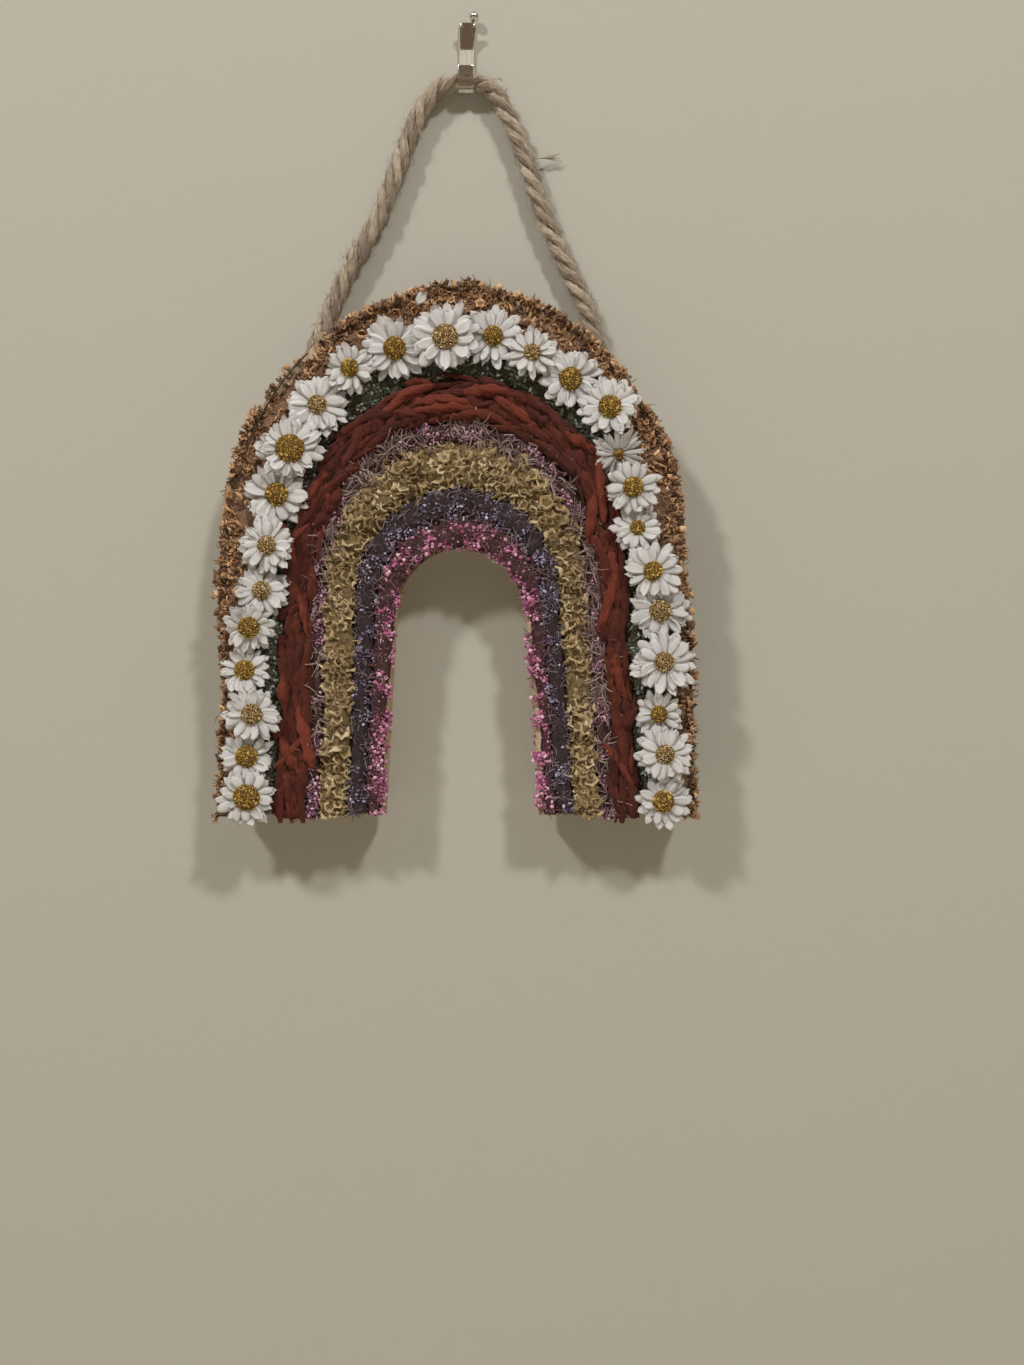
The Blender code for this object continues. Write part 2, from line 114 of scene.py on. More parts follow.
# A flower's own frame: x and y on the board's face, z the height off it
FRONT = Matrix.Translation((0.0, -FLOWER_BASE, 0.0)) @ Matrix.Rotation(pi / 2, 4, "X")


# Small tools
def rgb(code):
    """A colour given in sRGB hex, made linear."""
    parts = [int(code[i:i + 2], 16) / 255.0 for i in (0, 2, 4)]
    return (*[c / 12.92 if c <= 0.04045 else ((c + 0.055) / 1.055) ** 2.4 for c in parts], 1.0)


def plug(value):
    """A node stands for its first output."""
    return value.outputs[0] if isinstance(value, bpy.types.Node) else value


def node(tree, kind, given=None, stops=None, **settings):
    """Adds a node with its settings, its values or links, and a ramp's colours."""
    made = tree.nodes.new(kind)
    for key, value in settings.items():
        setattr(made, key, value)
    for key, value in (given or {}).items():
        value = plug(value)
        if isinstance(value, bpy.types.NodeSocket):
            tree.links.new(value, made.inputs[key])
        else:
            made.inputs[key].default_value = value
    if stops:
        ramp = made.color_ramp.elements
        while len(ramp) < len(stops):
            ramp.new(1.0)
        for place, (at, code) in zip(ramp, stops):
            place.position = at
            place.color = rgb(code)
    return made


def start_finish(name, roughness, **sockets):
    """A new material, with constants set on its shader's sockets."""
    finish = bpy.data.materials.new(name)
    finish.use_nodes = True
    tree = finish.node_tree
    shader = tree.nodes["Principled BSDF"]
    shader.inputs["Roughness"].default_value = roughness
    for key, value in sockets.items():
        shader.inputs[key.replace("_", " ")].default_value = value
    return finish, tree, shader


def dress(tree, shader, colour, height, strength, deep):
    """Gives a shader its colour, and a bump from a height."""
    tree.links.new(plug(colour), shader.inputs["Base Color"])
    bump = node(tree, "ShaderNodeBump", {"Strength": strength, "Distance": deep, "Height": height})
    tree.links.new(bump.outputs[0], shader.inputs["Normal"])


def add_piece(name, mesh, finishes, smooth=True):
    mesh.name = name
    for finish in finishes:
        mesh.materials.append(finish)
    if smooth:
        mesh.shade_smooth()
    thing = bpy.data.objects.new(name, mesh)
    bpy.context.scene.collection.objects.link(thing)
    return thing


def make_mesh(name, points, faces, marks=None, slots=None):
    """A mesh from points and faces, with the numbers that its finish reads."""
    mesh = bpy.data.meshes.new(name)
    mesh.from_pydata(points, [], faces)
    for key, values in (marks or {}).items():
        if isinstance(values[0], (tuple, list, Vector)):
            layer = mesh.attributes.new(key, "FLOAT_VECTOR", "POINT")
            layer.data.foreach_set("vector", [c for value in values for c in value])
        else:
            layer = mesh.attributes.new(key, "FLOAT", "POINT")
            layer.data.foreach_set("value", values)
    if slots:
        mesh.polygons.foreach_set("material_index", slots)
    mesh.update()
    return mesh


def turned_out(mesh):
    """Turns every face of a closed mesh outwards."""
    work = bmesh.new()
    work.from_mesh(mesh)
    bmesh.ops.recalc_face_normals(work, faces=work.faces)
    work.to_mesh(mesh)
    work.free()
    return mesh


def bands(rings, count, first=0):
    """The faces between rings of points, each ring with the same count."""
    return [(near + k, near + (k + 1) % count, near + count + (k + 1) % count, near + count + k)
            for near in range(first, first + rings * count, count) for k in range(count)]


def end_faces(rings, count):
    return [tuple(reversed(range(count))), tuple(rings * count + k for k in range(count))]


def add_shape(points, faces, more, sides):
    """Adds one shape's points and faces to those of a larger mesh."""
    first = len(points)
    points += more
    faces += [tuple(first + i for i in face) for face in sides]


def any_way(dice, reach):
    return Vector([dice.uniform(-reach, reach) for _ in range(3)])


def settle(piece, slot_name, *nodes):
    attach(piece, "root")
    if nodes:
        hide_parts(*nodes)
    return piece


# Board lines
def line_point(line, leg, share):
    if leg == "arch":
        half = line["left"] if cos(share) < 0.0 else line["right"]
        return Vector((line["middle"] + half * cos(share),
                       line["spring"] + line["rise"] * sin(share)))
    foot = line["foot_" + leg]
    top = line["middle"] + (-line["left"] if leg == "left" else line["right"])
    return Vector((foot + (top - foot) * share, FOOT_Z + (line["spring"] - FOOT_Z) * share))


def arch_place(place):
    """The leg and share at a place, from 0 at the left foot to 1 at the right."""
    step = place * STEPS
    if step <= LEG_STEPS:
        return "left", step / LEG_STEPS
    if step < LEG_STEPS + ARCH_STEPS:
        return "arch", pi * (1.0 - (step - LEG_STEPS) / ARCH_STEPS)
    return "right", (STEPS - step) / LEG_STEPS


def board_point(place, across):
    """On the board's face, as x and z: across is 0 on the opening, 1 on the rim."""
    leg, share = arch_place(place)
    inner = line_point(INNER, leg, share)
    return inner + (line_point(OUTER, leg, share) - inner) * across


def board_width(place):
    return (board_point(place, 1.0) - board_point(place, 0.0)).length


def board_run(place, across):
    """The way along a row from just before a place to just after it, and its share."""
    near, far = max(place - NEARBY, 0.0), min(place + NEARBY, 1.0)
    return board_point(far, across) - board_point(near, across), far - near


def from_table(table, place):
    for (start, low), (end, high) in zip(table, table[1:]):
        if place <= end:
            return low + (high - low) * (place - start) / (end - start)
    return table[-1][1]


def rim_reach(place):
    return from_table(RIM_REACH, place) * MM


def rim_bare(place):
    middle, spread, share = BARE_RIM
    return share * exp(-((place - middle) / spread) ** 2)


def haunch(place, shift):
    """How far a row bends inwards near the left haunch."""
    leg, angle = arch_place(place)
    if leg != "arch":
        return 0.0
    off = (degrees(angle) - HAUNCH_ANGLE) / HAUNCH_SPREAD
    return shift * exp(-off * off)


def row_edge(share, place):
    """Where a row's edge runs at a place, with its wander."""
    across = share
    for reach, pace in EDGE_WANDER:
        across += reach * noise.noise(Vector((place * pace, share * 31.0, 3.0)))
    if HAUNCH_EDGES[0] < share < HAUNCH_EDGES[1]:
        across += haunch(place, HAUNCH_SHIFT)
    if share == 1.0:
        across += 0.6 * rim_reach(place) / board_width(place) - rim_bare(place)
    if share == 0.0:
        across += from_table(BARE_INSIDE, place)
    return across


# Node trees
def open_tree(name, sockets, output):
    tree = bpy.data.node_groups.new(name, "GeometryNodeTree")
    for label, kind in sockets:
        tree.interface.new_socket(label, in_out="INPUT", socket_type="NodeSocket" + kind)
    tree.interface.new_socket(output, in_out="OUTPUT", socket_type="NodeSocketGeometry")
    return tree, node(tree, "NodeGroupInput").outputs


def close_tree(tree, made, finish):
    real = node(tree, "GeometryNodeRealizeInstances", {0: made})
    done = node(tree, "GeometryNodeSetMaterial", {"Geometry": real, "Material": finish})
    node(tree, "NodeGroupOutput", {0: done})
    return tree


def scatter_tree():
    """Spreads points over a bed and sets a small head on each one."""
    tree, given = open_tree("heads_on_a_bed", (
        ("Bed", "Geometry"), ("Heads", "Collection"), ("Spacing", "Float"),
        ("Smallest", "Float"), ("Largest", "Float"), ("Tilt", "Float"),
        ("Patches", "Float"), ("Bare", "Float"), ("Lift", "Float"),
        ("Seed", "Int"), ("Finish", "Material")), "Heads")
    facing = node(tree, "ShaderNodeSeparateXYZ", {0: node(tree, "GeometryNodeInputNormal")})
    front = node(tree, "FunctionNodeCompare", {0: facing.outputs[1], 1: 0.45},
                 data_type="FLOAT", operation="LESS_THAN")
    patches = node(tree, "ShaderNodeTexNoise", {"Scale": given["Patches"], "Detail": 1.0})
    edge = node(tree, "ShaderNodeMath", {0: given["Bare"], 1: 0.05}, operation="ADD")
    thick = node(tree, "ShaderNodeMapRange", {0: patches, 1: given["Bare"],
                                              2: edge, 3: 0.0, 4: 1.0})
    spread = node(tree, "GeometryNodeDistributePointsOnFaces",
                  {"Mesh": given["Bed"], "Selection": front,
                   "Distance Min": given["Spacing"], "Density Max": 3.0e6,
                   "Density Factor": thick, "Seed": given["Seed"]}, distribute_method="POISSON")
    back_tilt = node(tree, "ShaderNodeMath", {0: given["Tilt"], 1: -1.0}, operation="MULTIPLY")
    seeds = [node(tree, "ShaderNodeMath", {0: given["Seed"], 1: float(k)},
                  operation="ADD") for k in range(1, 6)]
    least = node(tree, "ShaderNodeCombineXYZ", {0: back_tilt, 1: back_tilt})
    most = node(tree, "ShaderNodeCombineXYZ", {0: given["Tilt"], 1: given["Tilt"], 2: TURN})
    turn = node(tree, "FunctionNodeRandomValue", {0: least, 1: most, "Seed": seeds[0]},
                data_type="FLOAT_VECTOR")
    turned = node(tree, "FunctionNodeRotateRotation",
                  {0: spread.outputs["Rotation"], 1: turn}, rotation_space="LOCAL")
    size, stand, tint = [node(tree, "FunctionNodeRandomValue", {2: low, 3: high, "Seed": seed},
             data_type="FLOAT").outputs[1]
        for low, high, seed in ((given["Smallest"], given["Largest"], seeds[1]),
                                (0.0, given["Lift"], seeds[3]), (0.0, 1.0, seeds[4]))]
    which = node(tree, "FunctionNodeRandomValue", {4: 0, 5: 59, "Seed": seeds[2]}, data_type="INT")
    heads = node(tree, "GeometryNodeCollectionInfo",
                 {"Collection": given["Heads"], "Separate Children": True, "Reset Children": True})
    placed = node(tree, "GeometryNodeInstanceOnPoints",
                  {"Points": spread.outputs["Points"], "Instance": heads,
                   "Pick Instance": True, "Instance Index": which.outputs[2],
                   "Rotation": turned, "Scale": size})
    raise_by = node(tree, "ShaderNodeCombineXYZ", {2: stand})
    raised = node(tree, "GeometryNodeTranslateInstances",
                  {"Instances": placed, "Translation": raise_by, "Local Space": True})
    named = node(tree, "GeometryNodeStoreNamedAttribute",
                 {"Geometry": raised, "Name": "tint", "Value": tint},
                 data_type="FLOAT", domain="INSTANCE")
    return close_tree(tree, named, given["Finish"])


def sweep_tree():
    """Sweeps a round section along lines: stems, tufts, fibres and strands."""
    tree, given = open_tree("sections_along_lines", (
        ("Lines", "Geometry"), ("Sides", "Int"), ("Ridges", "Float"),
        ("Ridge per metre", "Float"), ("Twist", "Float"), ("Finish", "Material")), "Strands")
    lines = node(tree, "GeometryNodeMeshToCurve", {0: given["Lines"]})
    thick = node(tree, "GeometryNodeInputNamedAttribute", {"Name": "thick"}, data_type="FLOAT")
    sized = node(tree, "GeometryNodeSetCurveRadius", {"Curve": lines, "Radius": thick})
    run = node(tree, "GeometryNodeInputNamedAttribute", {"Name": "along"}, data_type="FLOAT")
    angle = node(tree, "ShaderNodeMath", {0: run, 1: given["Twist"]}, operation="MULTIPLY")
    wound = node(tree, "GeometryNodeSetCurveTilt", {"Curve": sized, "Tilt": angle})
    circle = node(tree, "GeometryNodeCurvePrimitiveCircle",
                  {"Resolution": given["Sides"], "Radius": 1.0})
    place = node(tree, "GeometryNodeInputPosition")
    marked = node(tree, "GeometryNodeStoreNamedAttribute",
                  {"Geometry": circle, "Name": "fibre", "Value": place},
                  data_type="FLOAT_VECTOR", domain="POINT")
    swept = node(tree, "GeometryNodeCurveToMesh", {"Curve": wound, "Profile Curve": marked,
                  "Scale": thick, "Fill Caps": True})
    fibre = node(tree, "GeometryNodeInputNamedAttribute", {"Name": "fibre"},
                 data_type="FLOAT_VECTOR")
    along = node(tree, "GeometryNodeInputNamedAttribute", {"Name": "along"}, data_type="FLOAT")
    far = node(tree, "ShaderNodeMath", {0: along, 1: given["Ridge per metre"]},
               operation="MULTIPLY")
    lift = node(tree, "ShaderNodeCombineXYZ", {2: far})
    where = node(tree, "ShaderNodeVectorMath", {0: fibre, 1: lift}, operation="ADD")
    ripple = node(tree, "ShaderNodeTexNoise", {"Vector": where, "Scale": 1.9, "Detail": 2.0})
    swing = node(tree, "ShaderNodeMapRange", {0: ripple, 1: 0.25, 2: 0.75, 3: -1.0, 4: 1.0})
    local = node(tree, "GeometryNodeInputNamedAttribute", {"Name": "thick"}, data_type="FLOAT")
    by = node(tree, "ShaderNodeMath", {0: swing, 1: given["Ridges"]}, operation="MULTIPLY")
    scaled = node(tree, "ShaderNodeMath", {0: by, 1: local}, operation="MULTIPLY")
    push = node(tree, "ShaderNodeVectorMath", {0: node(tree, "GeometryNodeInputNormal"),
                 3: scaled}, operation="SCALE")
    moved = node(tree, "GeometryNodeSetPosition", {"Geometry": swept, "Offset": push})
    return close_tree(tree, moved, given["Finish"])


def grow(name, mesh, tree, values):
    """Runs a tree on a mesh and keeps what it makes as a plain mesh."""
    carrier = bpy.data.objects.new(name, mesh)
    bpy.context.scene.collection.objects.link(carrier)
    modifier = carrier.modifiers.new(tree.name, "NODES")
    modifier.node_group = tree
    for item in tree.interface.items_tree:
        if item.in_out == "INPUT" and item.name in values:
            modifier[item.identifier] = values[item.name]
    graph = bpy.context.evaluated_depsgraph_get()
    graph.update()
    result = bpy.data.meshes.new_from_object(
        carrier.evaluated_get(graph), preserve_all_data_layers=True, depsgraph=graph)
    carrier.modifiers.clear()
    carrier.data = result
    result.name = name
    result.shade_smooth()
    return carrier


def line_mesh(name, lines):
    """Lines for the sweep: each is (points, radii, tint)."""
    points, edges = [], []
    marks = {"thick": [], "tint": [], "along": [], "shade": []}
    for path, radii, tint in lines:
        first = len(points)
        run = 0.0
        for i, (point, radius) in enumerate(zip(path, radii)):
            if i:
                edges.append((first + i - 1, first + i))
                run += (Vector(point) - Vector(path[i - 1])).length
            points.append(point)
            for values, value in zip(marks.values(), (radius, tint, run + tint, 1.0)):
                values.append(value)
    mesh = make_mesh(name, points, [], marks)
    mesh.edges.add(len(edges))
    mesh.edges.foreach_set("vertices", [i for edge in edges for i in edge])
    return mesh


# Small heads
def ringed_head(rings, sides, dice, jitter=0.06):
    """A closed little shape turned from rings of (radius, radius2, height, painted shade)."""
    points = [(0.0, 0.0, rings[0][2])]
    shades = [rings[0][3]]
    for wide, narrow, high, shade in rings[1:-1]:
        for k in range(sides):
            angle = TURN * k / sides
            radius = (wide if k % 2 == 0 else narrow) * (1.0 + dice.uniform(-jitter, jitter))
            points.append((radius * cos(angle), radius * sin(angle),
                           high + dice.uniform(-jitter, jitter)))
            shades.append(shade)
    points.append((0.0, 0.0, rings[-1][2]))
    shades.append(rings[-1][3])
    last = len(points) - 1
    faces = [(0, 1 + (k + 1) % sides, 1 + k) for k in range(sides)]
    faces += bands(len(rings) - 3, sides, 1)
    near = 1 + (len(rings) - 3) * sides
    faces += [(near + k, near + (k + 1) % sides, last) for k in range(sides)]
    return points, faces, shades


HEAD_RINGS = {
    # sides, unevenness, then rings from bottom to top; an open head turns back in; a ring's last
    # number is its painted shade, low underneath and in the heart, high on rims and tips as
    # painted light
    "ruffle": (12, 0.17, ((0, 0, -0.9, 0.5), (0.32, 0.28, -0.50, 0.7), (1.0, 0.76, 0.06, 0.95),
                          (0.88, 0.66, 0.15, 1.0), (0.26, 0.20, -0.12, 0.75),
                          (0, 0, -0.6, 0.0))),
    "star": (10, 0.10, ((0, 0, -0.45, 0.3), (0.34, 0.30, -0.22, 0.4), (1.0, 0.58, 0.28, 1.0),
                  (0.42, 0.34, 0.02, 0.70), (0, 0, -0.10, 0.1))),
    "cup": (10, 0.08, ((0, 0, -0.95, 0.3), (0.36, 0.34, -0.62, 0.5), (1.0, 0.74, 0.20, 1.0),
                 (0.86, 0.60, 0.24, 0.95), (0.34, 0.30, -0.16, 0.42), (0, 0, -0.5, 0.0))),
    "bud": (6, 0.06, ((0, 0, -0.9, 0.3), (0.42, 0.42, -0.45, 0.6), (0.52, 0.52, 0.15, 0.9),
                (0.34, 0.34, 0.75, 1.0), (0, 0, 1.0, 1.0))),
    "ball": (6, 0.08, ((0, 0, -0.8, 0.2), (0.72, 0.66, -0.4, 0.5), (0.95, 0.85, 0.1, 0.85),
                 (0.62, 0.5, 0.62, 1.0), (0, 0, 0.74, 1.0))),
}


def bean(dice):
    """A short bent floret that lies on its side."""
    points, shades = [], []
    sides = 5
    bend = dice.uniform(0.2, 0.9)
    for i, size in enumerate((0.16, 0.34, 0.38, 0.18)):
        t = i / 3.0 * 2.0 - 1.0
        for k in range(sides):
            angle = TURN * k / sides
            points.append((t, bend * t * t * 0.6 + size * cos(angle), size * sin(angle)))
            # Painted light on the floret's top and painted shade underneath
            shades.append(0.45 + 0.55 * max(0.0, sin(angle)))
    return points, end_faces(3, sides) + bands(3, sides), shades


def leaf_bit(dice):
    """A dry scrap of leaf: a thin pointed lens, folded along its middle."""
    points = [(-1.0, 0.0, 0.0)]
    shades = [0.5]
    fold = dice.uniform(0.1, 0.5)
    for t, wide in ((-0.5, 0.42), (0.1, 0.55), (0.6, 0.34)):
        for u, under in ((-1, 0), (0, 0), (1, 0), (0, 1)):
            points.append((t, u * wide, fold * abs(u) * wide + 0.25 * t * t - 0.08 * under))
            # Painted shade along the fold and at the foot, painted light on the blades and the tip
            shades.append(0.9 if u else 0.6)
    points.append((1.0, 0.0, 0.3))
    shades.append(1.0)
    end = len(points) - 1
    faces = []
    ring = (0, 1, 2, 3)
    for k in range(4):
        a, b = ring[k], ring[(k + 1) % 4]
        faces.append((0, 1 + b, 1 + a))
        faces.append((9 + a, 9 + b, end))
        for row in (1, 5):
            faces.append((row + a, row + b, row + 4 + b, row + 4 + a))
    return points, faces, shades


def head_set(name, kinds, seed):
    """A few versions of each kind of head, for the scatter to pick from."""
    dice = random.Random(seed)
    group = bpy.data.collections.new(name)
    for kind, copies in kinds:
        for copy in range(copies):
            if kind == "bean":
                points, faces, shades = bean(dice)
            elif kind == "leaf":
                points, faces, shades = leaf_bit(dice)
            else:
                sides, uneven, rings = HEAD_RINGS[kind]
                points, faces, shades = ringed_head(rings, sides, dice, uneven)
            mesh = make_mesh(f"{name}_{kind}_{copy}", points, faces, {"shade": shades})
            turned_out(mesh)
            mesh.shade_smooth()
            group.objects.link(bpy.data.objects.new(mesh.name, mesh))
    return group


# Finishes
def plant_finish(name, stops, deep, fleck=0.5 * MM, bump=0.25):
    """Dried plant: each head takes a colour of its own from the ramp, and is mottled at the size
    of a fleck; painted shade darkens it towards the deep colour in its heart and underneath."""
    finish, tree, shader = start_finish(name, 0.8, Sheen_Weight=0.2,
                                        Sheen_Roughness=0.5, Specular_IOR_Level=0.3)
    tint, shade = [node(tree, "ShaderNodeAttribute", attribute_name=key)
                   for key in ("tint", "shade")]
    place = node(tree, "ShaderNodeTexCoord").outputs["Object"]
    grain = node(tree, "ShaderNodeTexNoise",
                 {"Vector": place, "Scale": 1.0 / fleck, "Detail": 3.0})
    blend = node(tree, "ShaderNodeMath", {0: grain, 1: 0.7, 2: -0.35}, operation="MULTIPLY_ADD")
    both = node(tree, "ShaderNodeMath", {0: blend, 1: tint.outputs["Fac"]},
                operation="ADD", use_clamp=True)
    colour = node(tree, "ShaderNodeValToRGB", {0: both}, stops)
    # Painted shade: where the 'shade' mark is low, the colour is mixed towards the deep colour
    lit = node(tree, "ShaderNodeMapRange", {0: shade.outputs["Fac"], 1: 0.0, 2: 0.85,
                                            3: 0.0, 4: 1.0})
    painted_shade_mix = node(tree, "ShaderNodeMix", {0: lit, 6: rgb(deep), 7: colour}, data_type="RGBA")
    dress(tree, shader, painted_shade_mix.outputs[2], grain, bump, 0.4 * fleck)
    return finish


def bed_finish(name, *codes):
    """Crushed stems and glue under the heads: dark, coarse and broken in tone."""
    finish, tree, shader = start_finish(name, 0.9, Specular_IOR_Level=0.25)
    place = node(tree, "ShaderNodeTexCoord").outputs["Object"]
    grain = node(tree, "ShaderNodeTexNoise", {"Vector": place, "Scale": 900.0, "Detail": 4.0,
                  "Roughness": 0.65, "Distortion": 1.5})
    colour = node(tree, "ShaderNodeValToRGB", {0: grain}, tuple(zip((0.3, 0.5, 0.75), codes)))
    dress(tree, shader, colour, grain, 0.8, 0.5 * MM)
    return finish


def petal_finish():
    """Dried daisy petal: papery white, ribbed lengthwise, greyer in its folds, and greyed towards
    its foot by painted shade.
    """
    finish, tree, shader = start_finish("dried_petal", 0.75, Sheen_Weight=0.1,
                                        Subsurface_Weight=0.4, Subsurface_Radius=(1.0, 1.0, 1.0),
                                        Subsurface_Scale=1.6 * MM, Specular_IOR_Level=0.15)
    mark = node(tree, "ShaderNodeAttribute", attribute_name="petal")
    parts = node(tree, "ShaderNodeSeparateXYZ", {0: mark.outputs["Vector"]})
    tint = node(tree, "ShaderNodeAttribute", attribute_name="tint")
    stretch = node(tree, "ShaderNodeVectorMath",
                   {0: mark.outputs["Vector"], 1: (3.0, 0.5, 40.0)}, operation="MULTIPLY")
    ribs = node(tree, "ShaderNodeTexNoise",
                {"Vector": stretch, "Scale": 2.0, "Detail": 3.0, "Roughness": 0.6})
    spots = node(tree, "ShaderNodeMapRange", {0: ribs, 1: 0.3, 2: 0.62})
    # Painted shade: the petal greys towards its foot, under the eye and the petals above it
    foot = node(tree, "ShaderNodeMapRange", {0: parts.outputs[1], 1: 0.05, 2: 0.55,
                                             3: 0.35, 4: 1.0})
    pale = node(tree, "ShaderNodeMath", {0: spots, 1: foot}, operation="MULTIPLY")
    toned = node(tree, "ShaderNodeMath", {0: tint.outputs["Fac"], 1: pale},
                 operation="MULTIPLY", use_clamp=True)
    colour = node(tree, "ShaderNodeValToRGB", {0: toned},
                  ((0.0, "C8C5C0"), (0.25, "D8D6D4"), (0.55, "E0E0E1"), (1.0, "E8E9EC")))
    dress(tree, shader, colour, ribs, 0.55, 0.25 * MM)
    return finish


def fibre_finish(name, stops, roughness, strands, run, bump, sheen):
    """Fibres laid lengthwise: streaks that follow the strand."""
    finish, tree, shader = start_finish(name, roughness, Sheen_Weight=sheen,
                                        Sheen_Roughness=0.6, Specular_IOR_Level=0.2)
    fibre, along, tint = [node(tree, "ShaderNodeAttribute", attribute_name=key)
                          for key in ("fibre", "along", "tint")]
    far = node(tree, "ShaderNodeMath", {0: along.outputs["Fac"], 1: run}, operation="MULTIPLY")
    wide = node(tree, "ShaderNodeVectorMath", {0: fibre.outputs["Vector"], 3: strands},
                operation="SCALE")
    lift = node(tree, "ShaderNodeCombineXYZ", {2: far})
    where = node(tree, "ShaderNodeVectorMath", {0: wide, 1: lift}, operation="ADD")
    streaks = node(tree, "ShaderNodeTexNoise", {"Vector": where, "Scale": 1.0, "Detail": 5.0,
                    "Roughness": 0.7, "Distortion": 0.4})
    part = node(tree, "ShaderNodeMath", {0: tint.outputs["Fac"], 1: 0.35, 2: -0.17},
                operation="MULTIPLY_ADD")
    both = node(tree, "ShaderNodeMath", {0: streaks, 1: part}, operation="ADD", use_clamp=True)
    colour = node(tree, "ShaderNodeValToRGB", {0: both}, stops)
    dress(tree, shader, colour, streaks, bump, 0.3 * MM)
    return finish


def wood_finish():
    """Raw pale softwood: fine grain along the board's height, darker lines, and painted shade on
    the sides that face up or down.
    """
    finish, tree, shader = start_finish("sawn_pine", 0.7, Specular_IOR_Level=0.3)
    place = node(tree, "ShaderNodeTexCoord").outputs["Object"]
    laid = node(tree, "ShaderNodeMapping", {"Vector": place, "Scale": (420.0, 420.0, 18.0)})
    grain = node(tree, "ShaderNodeTexNoise",
                 {"Vector": laid, "Scale": 1.0, "Detail": 5.0, "Roughness": 0.6,
                  "Distortion": 0.6})
    # Painted shade on the board's sides that face up or down
    sawn = node(tree, "ShaderNodeAttribute", attribute_name="end_grain")
    deep = node(tree, "ShaderNodeMath", {0: sawn.outputs["Fac"], 1: -0.45, 2: grain},
                operation="MULTIPLY_ADD", use_clamp=True)
    colour = node(tree, "ShaderNodeValToRGB", {0: deep},
                  ((0.0, "52402C"), (0.25, "7E6A50"), (0.42, "A18D72"), (0.58, "B6A388"),
                   (0.8, "C8B89E")))
    dress(tree, shader, colour, grain, 0.35, 0.2 * MM)
    return finish


def nickel_finish(name, roughness):
    """Nickel-plated steel, polished: mirror-like, with faint wipe marks."""
    finish, tree, shader = start_finish(name, roughness, Metallic=1.0)
    place = node(tree, "ShaderNodeTexCoord").outputs["Object"]
    laid = node(tree, "ShaderNodeMapping", {"Vector": place, "Scale": (2500.0, 2500.0, 160.0)})
    marks = node(tree, "ShaderNodeTexNoise", {"Vector": laid, "Scale": 1.0, "Detail": 3.0})
    colour = node(tree, "ShaderNodeValToRGB", {0: marks}, ((0.3, "D6D2CC"), (0.7, "EFECE8")))
    tree.links.new(colour.outputs[0], shader.inputs["Base Color"])
    dull = node(tree, "ShaderNodeMapRange", {0: marks, 1: 0.3, 2: 0.7,
                                             3: roughness * 0.7, 4: roughness * 1.6})
    tree.links.new(dull.outputs[0], shader.inputs["Roughness"])
    return finish


# Rope
def smooth_route(places, spacing):
    """Points at an even spacing on a smooth curve through the route's places."""
    fine = []
    padded = [places[0] * 2 - places[1], *places, places[-1] * 2 - places[-2]]
    for a, b, c, d in zip(padded, padded[1:], padded[2:], padded[3:]):
        for i in range(24):
            t = i / 24
            fine.append(0.5 * ((2 * b) + (c - a) * t + (2 * a - 5 * b + 4 * c - d) * t * t
                               + (3 * b - a - 3 * c + d) * t * t * t))
    fine.append(places[-1])
    lengths = [0.0]
    for a, b in zip(fine, fine[1:]):
        lengths.append(lengths[-1] + (b - a).length)
    count = round(lengths[-1] / spacing)
    route = []
    at = 0
    for i in range(count + 1):
        wanted = lengths[-1] * i / count
        while at < len(fine) - 2 and lengths[at + 1] < wanted:
            at += 1
        share = (wanted - lengths[at]) / (lengths[at + 1] - lengths[at])
        route.append(fine[at].lerp(fine[at + 1], min(share, 1.0)))
    return route


